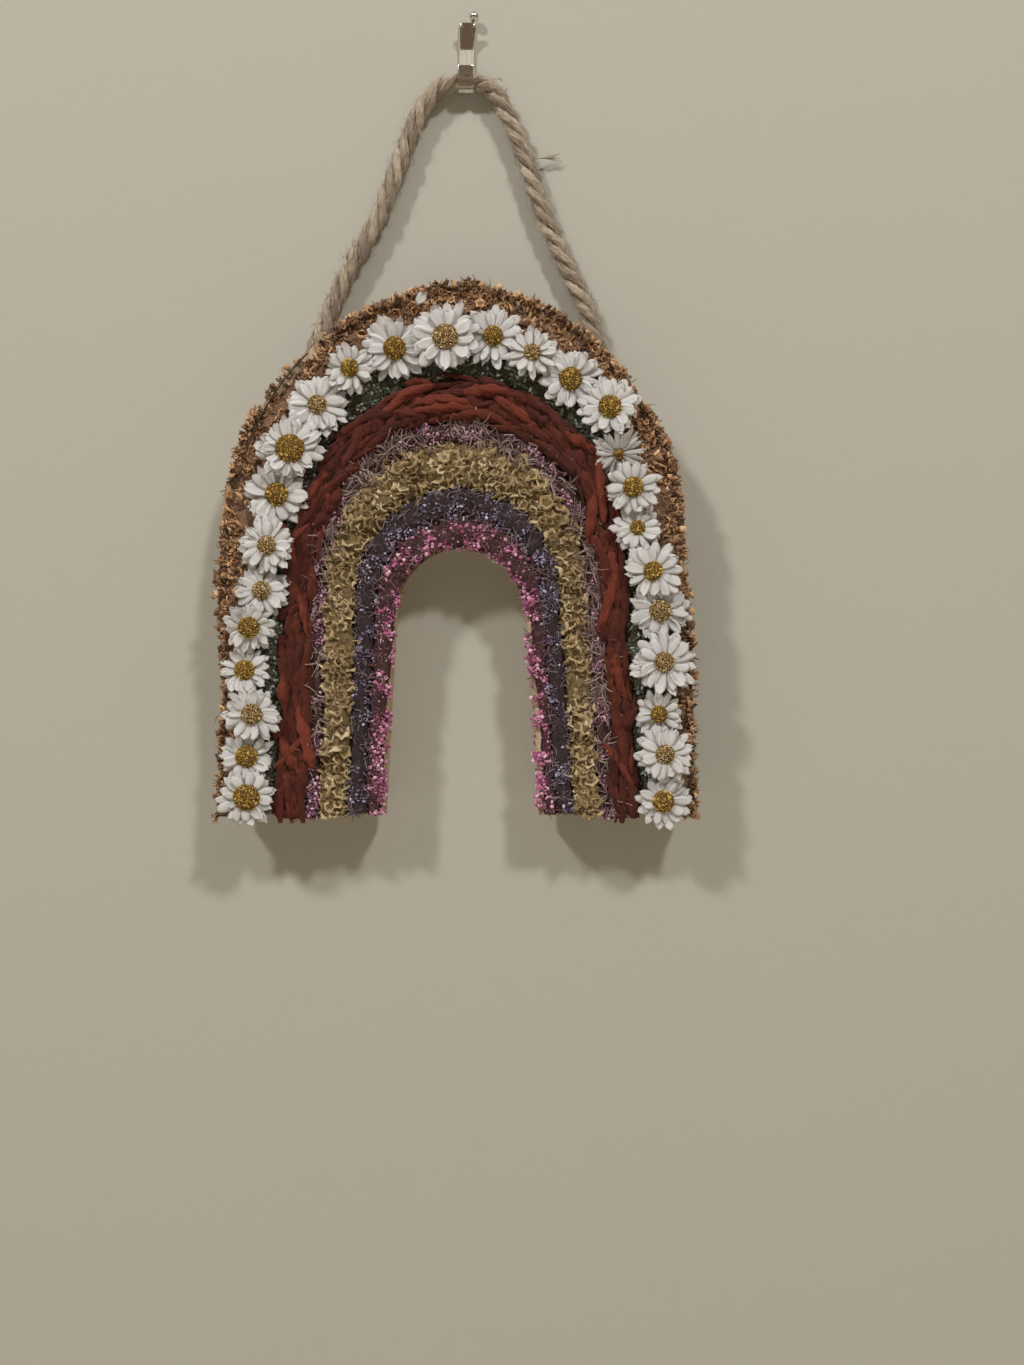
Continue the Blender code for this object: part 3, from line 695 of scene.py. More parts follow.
def make_rope(sweep):
    # Jute: coarse tan fibres, grey-brown in the grooves, straw where light falls
    jute = fibre_finish("jute", ((0.33, "30261C"), (0.43, "70604F"), (0.53, "AC9A84"),
                                 (0.64, "E6D9C4")), 0.95, 15.0, 230.0, 1.0, 0.35)
    route = smooth_route([Vector((x * MM, -ROPE_OFF_WALL, z * MM)) for x, z in ROPE_ROUTE],
                         ROPE_STEP)
    strands = []
    dice = random.Random(21)
    for ply in range(3):
        path, radii = [], []
        for i, middle in enumerate(route):
            ahead = (route[min(i + 1, len(route) - 1)] - route[max(i - 1, 0)]).normalized()
            side = ahead.cross(OUT).normalized()
            turn = TURN * (i * ROPE_STEP / ROPE_LAY + ply / 3.0)
            free = min(1.0, max(0.0, (middle.z - ROPE_BEHIND_Z) / (8.0 * MM)))
            if abs(middle.x) < 7.0 * MM and middle.z > -20.0 * MM:
                free = 0.0
            off = (1.80 + 0.30 * free) * MM
            path.append(middle + (side * cos(turn) + OUT * sin(turn)) * off)
            swell = 0.20 * noise.noise(Vector((i * 0.16, ply * 7.0, 1.0)))
            radii.append((1.62 + 0.18 * free + swell * (0.4 + 0.6 * free)) * MM)
        strands.append((path, radii, 0.44 + 0.08 * ply))
    rope = grow("rope_strands", line_mesh("rope_lines", strands), sweep,
                {"Sides": 20, "Ridges": 0.34, "Ridge per metre": 330.0, "Twist": -120.0,
                 "Finish": jute})
    hairs = []
    shown = [p for p in route if p.z > ROPE_SEEN_Z]
    for number in range(ROPE_HAIRS):
        i = dice.randrange(1, len(shown) - 1)
        ahead = (shown[i + 1] - shown[i - 1]).normalized()
        if dice.random() < 0.5:
            ahead.negate()
        side = ahead.cross(OUT).normalized()
        angle = dice.uniform(0.0, TURN)
        away = side * cos(angle) + OUT * sin(angle)
        long = dice.uniform(1.8, 6.0) * MM
        heading = ahead + away * dice.uniform(0.05, 0.75) + any_way(dice, 0.2)
        hairs.append(stem(dice, shown[i] + away * 3.3 * MM, heading, any_way(dice, 0.35), long,
                          dice.uniform(0.07, 0.13) * MM, 0.4, 6, 0.12, WALL_GAP))
    for start, bend, end, count, spread in ROPE_WISPS:
        for number in range(count):
            path = []
            fan = any_way(dice, 1.0) * spread
            reach = dice.uniform(0.7, 1.0)
            for k in range(8):
                t = k / 7.0 * reach
                mix = [(1 - t) ** 2 * a + 2 * t * (1 - t) * b + t * t * c
                       for a, b, c in zip(start, bend, end)]
                path.append(Vector(((mix[0] + fan.x * t ** 4) * MM,
                                    -(5.2 - 3.2 * t + fan.y * t ** 4) * MM,
                                    (mix[1] + fan.z * t ** 4) * MM)))
            hairs.append(([Vector((q.x, min(q.y, -WALL_GAP), q.z)) for q in path],
                          [0.15 * MM] * 8, dice.uniform(0.5, 1.0)))
    fuzz = grow("rope_fibres", line_mesh("fibre_lines", hairs), sweep,
                {"Sides": 3, "Ridges": 0.0, "Ridge per metre": 1.0, "Finish": jute})
    settle(fuzz, "jute")
    settle(rope, "jute", "rope")


# Board
def make_board():
    """The board with its corners eased, over the solid's own outline."""
    points, sawn = [], []
    # place across, depth, and whether the point lies on a face, not on an edge
    corners = ((0.0, BOARD_BACK, False), (0.0, BOARD_BACK, True), (1.0, BOARD_BACK, True),
               (1.0, BOARD_BACK, False), (1.0, BOARD_FRONT, False), (1.0, BOARD_FRONT, True),
               (0.0, BOARD_FRONT, True), (0.0, BOARD_FRONT, False))
    for step in range(FINE_STEPS + 1):
        place = step / FINE_STEPS
        width = board_width(place)
        for across, off, flat in corners:
            inwards = 1.0 if across == 0.0 else -1.0
            shift = BOARD_EASE / width * inwards if flat else 0.0
            deep = 0.0 if flat else (BOARD_EASE if off == BOARD_BACK else -BOARD_EASE)
            x, z = board_point(place, across + shift)
            points.append((x, -(off + deep), z))
            run = board_run(place, across)[0].normalized()
            # Painted shade on the board's sides, strongest where the board runs level
            sawn.append(0.0 if flat else abs(run.x))
    faces = bands(FINE_STEPS, len(corners)) + end_faces(FINE_STEPS, len(corners))
    mesh = turned_out(make_mesh("board", points, faces, {"end_grain": sawn}))
    board = add_piece("board_wood", mesh, [wood_finish()])
    mesh.set_sharp_from_angle(angle=radians(30.0))
    settle(board, "pale_wood", "board")


# Rows
def make_bed(name, starts, ends, high, hangs=0.0):
    """The low crowned bed that a row's heads stand on, closed on all sides."""
    points = []
    marks = {"fibre": [], "along": [], "tint": []}
    for step in range(FINE_STEPS + 1):
        place = step / FINE_STEPS
        near = row_edge(starts, place)
        far = row_edge(ends, place)
        drop = hangs if step in (0, FINE_STEPS) else 0.0
        for k in range(BED_ACROSS):
            u = k / (BED_ACROSS - 1)
            x, z = board_point(place, near + (far - near) * u)
            lump = 0.75 + 0.75 * noise.noise(Vector((x * 230.0, z * 230.0, starts * 9.0)))
            crown = (1.0 - abs(2.0 * u - 1.0) ** 2.6) * lump
            points.append((x, -(FLOWER_BASE + high * max(crown, 0.0)), z - drop))
            marks["fibre"].append((5.0 * u, 0.0, 0.0))
            marks["along"].append(place * ROW_RUN)
            marks["tint"].append(0.4)
    faces = bands(FINE_STEPS, BED_ACROSS) + end_faces(FINE_STEPS, BED_ACROSS)
    return turned_out(make_mesh(name, points, faces, marks))


def lay_row(name, slot, span, bed, heads, tree, *nodes):
    """One row: its bed, and each set of heads that is scattered over it."""
    starts, ends, high, hangs = span
    base = add_piece(f"{name}_bed", make_bed(name, starts, ends, high * MM, hangs * MM), [bed])
    settle(base, slot, *nodes)
    for part, kinds, finish, seed, spacing, sizes, tilt, patches, bare, lift, *own in heads:
        near, far = own or (starts, ends)
        mesh = make_bed(name, near, far, high * MM, hangs * MM)
        row = grow(f"{name}_{part}", mesh, tree,
                   {"Heads": head_set(f"{name}_{part}", kinds, seed), "Seed": seed,
                    "Spacing": spacing * MM, "Smallest": sizes[0] * MM,
                    "Largest": sizes[1] * MM, "Tilt": tilt, "Patches": patches,
                    "Bare": bare, "Lift": lift * MM, "Finish": finish})
        settle(row, slot)


def on_face(place, across, high):
    x, z = board_point(place, across)
    return Vector((x, -(FLOWER_BASE + high), z))


def stem(dice, root, heading, curl, run, thick, bend=0.25, count=6, taper=0.09,
         clear=FLOWER_BASE + 0.2 * MM):
    """One thin stem from its root, curling as it goes, and kept clear of what is behind."""
    path = []
    point = root.copy()
    heading = heading.normalized()
    for k in range(count):
        path.append(Vector((point.x, min(point.y, -clear), point.z)))
        heading = (heading + curl * bend).normalized()
        point = point + heading * run / (count - 1)
    return path, [thick * (1.0 - taper * k) for k in range(count)], dice.random()


def curly_stems(dice, starts, ends, count, high, long, thick, each=(4, 8)):
    """Groups of thin stems that spring from one point and curl outwards."""
    lines = []
    for group in range(count):
        place = dice.uniform(0.0, 1.0)
        across = dice.uniform(row_edge(starts, place), row_edge(ends, place))
        root = on_face(place, across, high * 0.4)
        for number in range(dice.randint(*each)):
            angle = dice.uniform(0.0, TURN)
            heading = Vector((cos(angle), -dice.uniform(0.15, 0.9), sin(angle)))
            curl = Vector((dice.uniform(-1, 1), dice.uniform(-0.2, 1.1), dice.uniform(-1, 1)))
            lines.append(stem(dice, root, heading, curl, dice.uniform(*long),
                              dice.uniform(*thick)))
    return lines


def lay_lines(name, slot, lines, tree, finish, sides=4, ridges=0.15, per_metre=400.0,
              twist=0.0):
    piece = grow(name, line_mesh(name, lines), tree,
                 {"Sides": sides, "Ridges": ridges, "Ridge per metre": per_metre,
                  "Twist": twist, "Finish": finish})
    return settle(piece, slot)


def make_pink(scatter, sweep):
    # Crushed wine-dark stems, matt rose florets and thin plum-red stalks
    bed = bed_finish("wine_stems", "241A1A", "44302F", "6A4C4C")
    florets = plant_finish("pink_florets", ((0.0, "8C4268"), (0.35, "B66692"),
                                            (0.7, "D08EB0"), (1.0, "ECC8D6")), "66304A",
                           fleck=0.7 * MM)
    stems = plant_finish("wine_stalks", ((0.0, "3E2024"), (0.6, "6A3A44"), (1.0, "916068")),
                         "2E1218", fleck=0.4 * MM)
    lay_row("pink", "pink_flowers", (0.0, 0.110, 2.2, -0.5), bed, (
        ("clusters", (("star", 3), ("ball", 2)), florets, 3, 0.95, (0.65, 1.25), 0.9,
         125.0, 0.475, 3.4, -0.014, 0.100),
        ("strays", (("star", 2), ("bud", 1)), florets, 4, 2.35, (0.5, 1.0), 0.9,
         200.0, 0.36, 1.6, -0.005, 0.120)), scatter, "pink_florets")
    dice = random.Random(71)
    lines = curly_stems(dice, 0.0, 0.115, 190, 2.6 * MM, (2.0 * MM, 5.5 * MM),
                        (0.14 * MM, 0.28 * MM), (2, 5))
    for z in (-276.0, -288.0, -297.5, -309.0):
        root = Vector((-36.5, -26.0, z)) * MM
        lines.append(stem(dice, root, Vector((1.0, -0.2, -0.3)), Vector((0.1, 0.0, 1.0)),
                          5.0 * MM, 0.34 * MM, 0.5))
    lay_lines("pink_stalks", "pink_flowers", lines, sweep, stems)


def make_blue(scatter, sweep):
    # Plum-grey stems with dusty lavender stars that pale at their tips, with painted shade in
    # their hearts
    bed = bed_finish("plum_stems", "1C1718", "362B2E", "58484C")
    florets = plant_finish("lavender_florets", ((0.0, "5A4C5E"), (0.45, "7E708E"),
                                                (0.75, "A49CBE"), (1.0, "D4CFE2")), "352C3A",
                           fleck=0.5 * MM)
    stems = plant_finish("plum_stalks", ((0.0, "3A2E33"), (0.5, "65565C"), (1.0, "93848A")),
                         "2A2026", fleck=0.4 * MM)
    lay_row("blue", "blue_flowers", (0.110, 0.225, 2.4, -1.0), bed, (
        ("stars", (("star", 3), ("bud", 2)), florets, 5, 1.1, (0.65, 1.3), 1.0,
         120.0, 0.485, 3.0, 0.085, 0.225),), scatter, "blue_florets")
    dice = random.Random(72)
    lay_lines("blue_stalks", "blue_flowers",
              curly_stems(dice, 0.100, 0.230, 310, 2.8 * MM, (1.8 * MM, 4.6 * MM),
                          (0.16 * MM, 0.32 * MM), (2, 5)), sweep, stems)


def make_cream(scatter):
    # Papery straw-coloured cups, pale on their lips, with painted shade that darkens them
    # olive-brown inside and underneath
    bed = bed_finish("cream_stems", "4C3E28", "766446", "94825C")
    cups = plant_finish("cream_cups", ((0.0, "866F4A"), (0.4, "A28B64"), (0.75, "B8A27C"),
                                       (1.0, "D0C09C")), "4A3A1E", fleck=1.4 * MM, bump=0.15)
    lay_row("cream", "cream_flowers", (0.225, 0.405, 3.2, 0.0), bed, (
        ("cups", (("ruffle", 4), ("cup", 3), ("star", 2)), cups, 7, 2.9, (2.2, 3.9), 0.8,
         70.0, 0.36, 2.4),
        ("scraps", (("leaf", 3), ("star", 3), ("cup", 2)), cups, 8, 2.35, (1.2, 2.1), 1.2,
         120.0, 0.42, 1.4)), scatter, "cream_florets")


def make_mauve(scatter, sweep):
    # Wiry grey-brown stems that catch light, lilac blooms deep among them
    bed = bed_finish("plum_base", "201617", "443030", "664E48")
    stems = plant_finish("grey_stems", ((0.0, "503C3A"), (0.5, "806A66"), (1.0, "AE9A94")),
                         "3C2C28", fleck=0.4 * MM)
    blooms = plant_finish("lilac_blooms", ((0.0, "8A5276"), (0.5, "BC86A2"), (1.0, "E2C0D0")),
                          "5A3048", fleck=0.6 * MM)
    lay_row("mauve", "mauve_flowers", (0.405, 0.490, 2.2, 1.5), bed, (
        ("blooms", (("star", 3), ("bud", 2)), blooms, 9, 1.05, (0.75, 1.5), 0.9,
         85.0, 0.46, 4.6, 0.405, 0.505),), scatter, "mauve_sprigs")
    dice = random.Random(41)
    lay_lines("mauve_stems", "mauve_flowers",
              curly_stems(dice, 0.400, 0.505, 155, 3.2 * MM, (3.5 * MM, 8.5 * MM),
                          (0.25 * MM, 0.46 * MM), (6, 12)), sweep, stems)


def tuft(dice, place, across, long, thick, slant, high, tint):
    """One soft tuft: a spindle laid along the row, its ends tapering."""
    width = board_width(place)
    count = 12
    path, radii = [], []
    ahead, part = board_run(place, across)
    step = ahead.length / part
    span = long / step
    place = min(max(place, 0.5 * span - TUFT_HANG / LEG_RUN),
                1.0 - 0.5 * span + TUFT_HANG / LEG_RUN)
    bow = dice.uniform(-1.4, 1.4) * MM
    for k in range(count):
        t = k / (count - 1)
        at = place + span * (t - 0.5)
        here = across + (slant * (t - 0.5) + bow * sin(pi * t)) / width
        inside = min(max(at, 0.0), 1.0)
        spot = on_face(inside, here, high + 0.22 * thick * sin(pi * t)
                       + 0.8 * MM * noise.noise(Vector((at * 90, here * 40, 2.0))))
        spot.z -= abs(at - inside) * LEG_RUN
        path.append(spot)
        radii.append(0.5 * thick * max(0.1, sin(pi * (0.04 + 0.92 * t)) ** 0.42)
                     * (1.0 + 0.5 * noise.noise(Vector((at * 260.0, here * 60.0, 7.0)))))
    return path, radii, tint


RED_LANES = (0.508, 0.546, 0.588, 0.630)
RED_STEP = 0.0206
RED_HAIRS = 1400
RIM_STEMS = 370
GOLD_FROM = 0.62
# place along the row, place across, length, thickness and slant in mm
LOOSE_TUFTS = ((0.050, 0.575, 15.0, 4.4, 9.0), (0.102, 0.630, 14.0, 4.6, 1.0),
               (0.228, 0.620, 14.0, 4.2, 8.0), (0.300, 0.560, 20.0, 4.0, -3.0),
               (0.440, 0.600, 24.0, 4.4, 5.0), (0.480, 0.560, 26.0, 4.6, -4.0),
               (0.530, 0.610, 24.0, 4.6, 5.0), (0.570, 0.570, 22.0, 4.2, -5.0),
               (0.655, 0.625, 18.0, 4.8, 7.0), (0.790, 0.575, 16.0, 3.6, 2.0),
               (0.883, 0.580, 20.0, 4.6, 4.0))


def make_red(sweep):
    # Rust-red plant wool: dark between the tufts, brick on their fluffy backs
    fluff = fibre_finish("rust_fluff", ((0.25, "2C1510"), (0.42, "4C231A"), (0.56, "622D21"),
                                        (0.72, "823C2A"), (0.9, "A65A40")), 0.95, 9.0, 300.0,
                         1.0, 0.05)
    dice = random.Random(51)
    lines = []
    place = 0.0
    while place < 1.0:
        for across in RED_LANES:
            shift = haunch(place, HAUNCH_SHIFT * 0.6)
            stray = dice.random() < 0.05
            lines.append(tuft(dice, place + dice.uniform(-0.012, 0.012),
                              across + shift + dice.uniform(-0.016, 0.016),
                              dice.uniform(10.0, 30.0) * MM, dice.uniform(2.0, 5.0) * MM,
                              dice.uniform(-6.0, 6.0) * MM * (2.0 if stray else 1.0),
                              (1.6 + 0.5 * dice.random() + (0.9 if stray else 0.0)) * MM,
                              dice.uniform(0.75, 1.0) if stray else dice.uniform(0.1, 0.6)))
        place += RED_STEP
    for place, across, long, thick, slant in LOOSE_TUFTS:
        lines.append(tuft(dice, place, across, long * MM, thick * MM, slant * MM, 2.9 * MM, 0.8))
    tufts = lay_lines("red_tufts_row", "red_flowers", lines, sweep, fluff, 14, 0.42, 130.0, 60.0)
    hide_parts("red_tufts")
    hairs = []
    for number in range(RED_HAIRS):
        place = dice.uniform(0.0, 1.0)
        across = dice.uniform(0.485, 0.655)
        root = on_face(place, across, dice.uniform(2.0, 4.6) * MM)
        ahead = board_run(place, across)[0]
        heading = (Vector((ahead.x, 0.0, ahead.y)).normalized() * dice.choice((-1.0, 1.0))
                   + any_way(dice, 0.7))
        hairs.append(stem(dice, root, heading, any_way(dice, 1),
                          dice.uniform(1.5, 5.0) * MM, 0.10 * MM, 0.2, 5))
    lay_lines("red_hairs", "red_flowers", hairs, sweep, fluff, 3, 0.0, 1.0)
    base = add_piece("red_bed", make_bed("red_bed", 0.488, 0.652, 4.4 * MM, 1.0 * MM), [fluff])
    settle(base, "red_flowers")


def make_green(scatter, sweep):
    # Small silvery grey-green buds, dull like sage, over an olive base
    bed = bed_finish("olive_base", "2A281C", "484434", "6C6750")
    buds = plant_finish("silver_buds", ((0.0, "3C3E32"), (0.45, "5C6255"), (0.72, "838E86"),
                                        (1.0, "B2BDBA")), "33372C", fleck=0.6 * MM)
    lay_row("green", "green_buds", (0.650, 0.800, 2.0, -1.0), bed, (
        ("sprays", (("bud", 4), ("bean", 2)), buds, 11, 1.4, (0.85, 1.8), 1.3,
         120.0, 0.38, 1.2),), scatter, "green_buds")
    dice = random.Random(73)
    lay_lines("green_stalks", "green_buds",
              curly_stems(dice, 0.650, 0.790, 150, 2.2 * MM, (2.0 * MM, 5.0 * MM),
                          (0.10 * MM, 0.20 * MM), (2, 4)), sweep, buds)


def make_brown(scatter, sweep):
    # Dry bark-brown scraps, golden papery bracts, dark stems under them
    bed = bed_finish("bark_base", "443226", "7E624E", "AC8F76")
    bracts = plant_finish("dry_bracts", ((0.0, "5A4030"), (0.35, "8A6850"), (0.6, "B08A64"),
                                         (0.82, "CDA276"), (1.0, "E2BF94")), "5A3E2A",
                          fleck=0.9 * MM)
    gold = plant_finish("golden_bracts", ((0.0, "9A7250"), (0.5, "C0966C"), (1.0, "E0BE96")),
                        "6A4A30", fleck=0.9 * MM)
    stems = plant_finish("brown_stems", ((0.0, "30221A"), (0.6, "5A4030"), (1.0, "866850")),
                         "30221A", fleck=0.5 * MM)
    kinds = (("star", 4), ("cup", 2), ("leaf", 3), ("bean", 2))
    lay_row("brown", "brown_sprigs", (0.800, 1.000, 2.0, 0.5), bed, (
        ("litter", kinds, bracts, 13, 1.93, (1.2, 2.7), 1.2, 90.0, 0.34, 1.6),
        ("golden_cups", (("cup", 4), ("star", 3)), gold, 14, 2.0, (1.2, 2.1), 0.9, 75.0,
         0.47, 2.6, 0.900, 1.0)), scatter, "brown_sprigs")
    dice = random.Random(61)
    rims = {"bark": ([], []), "gold": ([], [])}
    lines = []
    place = 0.0
    while place < 1.0:
        if dice.random() < 11.0 * rim_bare(place):
            place += 0.004
            continue
        rim = board_point(place, 1.0)
        outer = (rim - board_point(place, 0.9)).normalized()
        reach = rim_reach(place)
        size = dice.uniform(0.9, 1.8) * MM
        off = min(dice.uniform(0.25 if place > GOLD_FROM else -0.3, 1.0) * reach, reach - size)
        points, faces = rims["gold" if dice.random() < (0.85 if place > GOLD_FROM else 0.3)
                             else "bark"]
        spot = rim + outer * (off - 0.5 * MM)
        high = dice.uniform(0.8, 3.6) * MM
        ball, sides, _ = ringed_head(HEAD_RINGS["ball"][2], 6, dice, 0.1)
        end = Vector((spot.x, -(FLOWER_BASE + high), spot.y))
        add_shape(points, faces, [end + Vector(p) * size for p in ball], sides)
        start = on_face(place, 0.97, 0.5 * MM)
        middle = start.lerp(end, 0.5) + Vector((0.0, -0.5 * MM, 0.0))
        lines.append(([start, middle, end], [0.35 * MM, 0.30 * MM, 0.25 * MM], dice.random()))
        place += dice.uniform(0.002, 0.0055)
    for part, finish in (("bark", bracts), ("gold", gold)):
        blobs = turned_out(make_mesh(f"rim_{part}", *rims[part]))
        cluster = grow(f"rim_{part}_clusters", blobs, scatter,
                       {"Heads": head_set(f"rim_{part}_heads", kinds, 38), "Seed": 19,
                        "Spacing": 1.35 * MM, "Smallest": 1.0 * MM, "Largest": 2.3 * MM,
                        "Tilt": 0.9, "Patches": 300.0, "Bare": 0.0, "Lift": 0.8 * MM,
                        "Finish": finish})
        settle(cluster, "brown_sprigs")
    for number in range(RIM_STEMS):
        place = dice.uniform(0.0, 1.0)
        across = row_edge(1.0, place) - abs(dice.gauss(0.0, 0.030))
        root = on_face(place, across, dice.uniform(0.6, 2.6) * MM)
        outer = (board_point(place, 1.1) - board_point(place, 1.0)).normalized()
        along = Vector((-outer.y, outer.x)) * dice.uniform(-1.4, 1.4)
        flat = outer * dice.uniform(0.1, 0.9) + along
        heading = Vector((flat.x, -dice.uniform(0.0, 0.9), flat.y))
        lines.append(stem(dice, root, heading, any_way(dice, 1.3),
                          dice.uniform(2.0, 4.8) * MM, dice.uniform(0.16, 0.30) * MM, 0.34))
    twig = [(-65.5, -137.0), (-70.5, -142.0), (-76.0, -149.0), (-80.7, -155.5),
            (-85.3, -163.5), (-89.0, -172.0), (-92.5, -181.0), (-94.0, -190.0)]
    lines.append(([Vector((x * MM, -26.6 * MM, z * MM)) for x, z in twig],
                  [0.36 * MM] * len(twig), 0.2))
    lay_lines("brown_stems", "brown_sprigs", lines, sweep, stems)


# Daisies
DAISIES = (
    # x, z, across, eye in mm; eye kind; petals below, above; width; tone; head's tilt
    (-89.6, -321.5, 23.9, 11.5, "mustard", 10, 8, 1.00, 1.00, (4, 0)),
    (-90.4, -305.0, 22.7, 9.5, "mustard", 9, 8, 1.00, 0.95, (-6, 5)),
    (-87.5, -287.3, 23.1, 9.1, "tan", 10, 9, 1.05, 1.00, (3, 2)),
    (-91.2, -269.2, 21.4, 8.7, "mustard", 9, 7, 1.00, 0.95, (-8, -4)),
    (-88.8, -251.4, 21.4, 9.1, "mustard", 9, 8, 0.95, 0.90, (14, 6)),
    (-84.2, -236.2, 23.1, 8.2, "tan", 10, 9, 1.00, 1.00, (-4, 3)),
    (-81.3, -217.7, 23.1, 8.2, "tan", 10, 8, 1.00, 1.00, (2, -5)),
    (-78.0, -196.2, 26.4, 9.9, "mustard", 9, 8, 1.05, 1.00, (5, 0)),
    (-71.9, -178.1, 27.2, 12.4, "mustard", 10, 9, 1.00, 0.95, (-3, 4)),
    (-61.2, -159.1, 26.4, 8.2, "tan", 9, 8, 1.05, 1.05, (0, 3)),
    (-47.1, -144.7, 20.6, 7.8, "mustard", 9, 7, 1.00, 0.92, (8, -3)),
    (-29.0, -135.7, 27.2, 9.9, "mustard", 10, 9, 1.00, 0.92, (10, 0)),
    (-8.0, -132.0, 28.8, 11.1, "tan", 10, 8, 1.05, 1.00, (0, 2)),
    (11.8, -130.7, 25.5, 8.7, "mustard", 10, 8, 1.00, 1.00, (4, -3)),
    (27.8, -138.5, 21.4, 7.4, "tan", 8, 7, 0.90, 0.90, (-4, 6)),
    (43.9, -148.4, 26.4, 9.9, "mustard", 9, 8, 1.05, 0.98, (3, 3)),
    (60.0, -160.8, 25.5, 9.9, "mustard", 9, 8, 1.05, 1.00, (-3, -3)),
    (63.7, -179.3, 21.4, 7.4, "side", 14, 13, 0.55, 0.72, (24, 6)),
    (69.5, -193.8, 23.1, 8.7, "mustard", 9, 8, 1.00, 0.98, (5, 0)),
    (71.5, -210.2, 22.2, 6.6, "mustard", 9, 8, 1.05, 1.00, (-6, 3)),
    (77.7, -228.4, 24.7, 8.2, "mustard", 9, 8, 1.00, 1.00, (3, -4)),
    (81.0, -244.4, 26.4, 9.5, "tan", 10, 9, 0.95, 0.88, (6, 4)),
    (82.2, -265.9, 27.2, 8.7, "tan", 10, 9, 1.00, 1.05, (0, 0)),
    (80.6, -287.3, 20.6, 7.4, "mustard", 8, 7, 1.00, 0.95, (9, -3)),
    (82.6, -303.8, 23.9, 8.2, "tan", 10, 9, 0.95, 0.92, (-4, 2)),
    (82.2, -323.5, 23.1, 9.5, "mustard", 9, 8, 1.05, 1.00, (3, 3)),
)
PETAL_LIFT = 4.9 * MM
PETAL_LEVEL = 3.2 * MM
PETAL_ROWS = ((0.0, 0.34), (0.20, 0.60), (0.42, 0.88), (0.62, 1.0), (0.79, 0.92),
              (0.91, 0.68), (0.97, 0.42), (1.0, 0.20))
PETAL_COLUMNS = (-1.0, -0.5, 0.0, 0.5, 1.0)


def petal(inner, outer, half, rise, curl, cup, yaw, thick, notches):
    """A thin closed petal along +x, cupped across, curled lengthwise, torn at the tip."""
    points, marks, faces = [], [], []
    count = len(PETAL_COLUMNS)
    for t, share in PETAL_ROWS:
        for u, notch in zip(PETAL_COLUMNS, notches):
            side = u * half * share
            x = inner + (outer - inner) * t * (1.0 - notch * t ** 4) - 0.2 * half * u * u * t
            high = rise * t + curl * t * t * t + cup * half * share * (u * u - 0.35)
            if abs(u) == 0.5:
                high -= 0.10 * half * share
            points.append((x, side + yaw * t * t, high))
            marks.append((u, t))
    tops = len(points)
    under = {}
    for row, (t, share) in enumerate(PETAL_ROWS):
        for column in range(count):
            if column in (0, count - 1) or row in (0, len(PETAL_ROWS) - 1):
                under[row, column] = row * count + column
            else:
                x, y, high = points[row * count + column]
                under[row, column] = len(points)
                points.append((x, y, high - thick))
                marks.append((PETAL_COLUMNS[column], t))
    for row in range(len(PETAL_ROWS) - 1):
        for column in range(count - 1):
            a = row * count + column
            faces.append((a, a + count, a + count + 1, a + 1))
            faces.append((under[row, column], under[row, column + 1],
                          under[row + 1, column + 1], under[row + 1, column]))
    return points, marks, faces


def daisy_high(number):
    return PETAL_LIFT + (PETAL_LEVEL if number % 2 == 1 else 0.0)


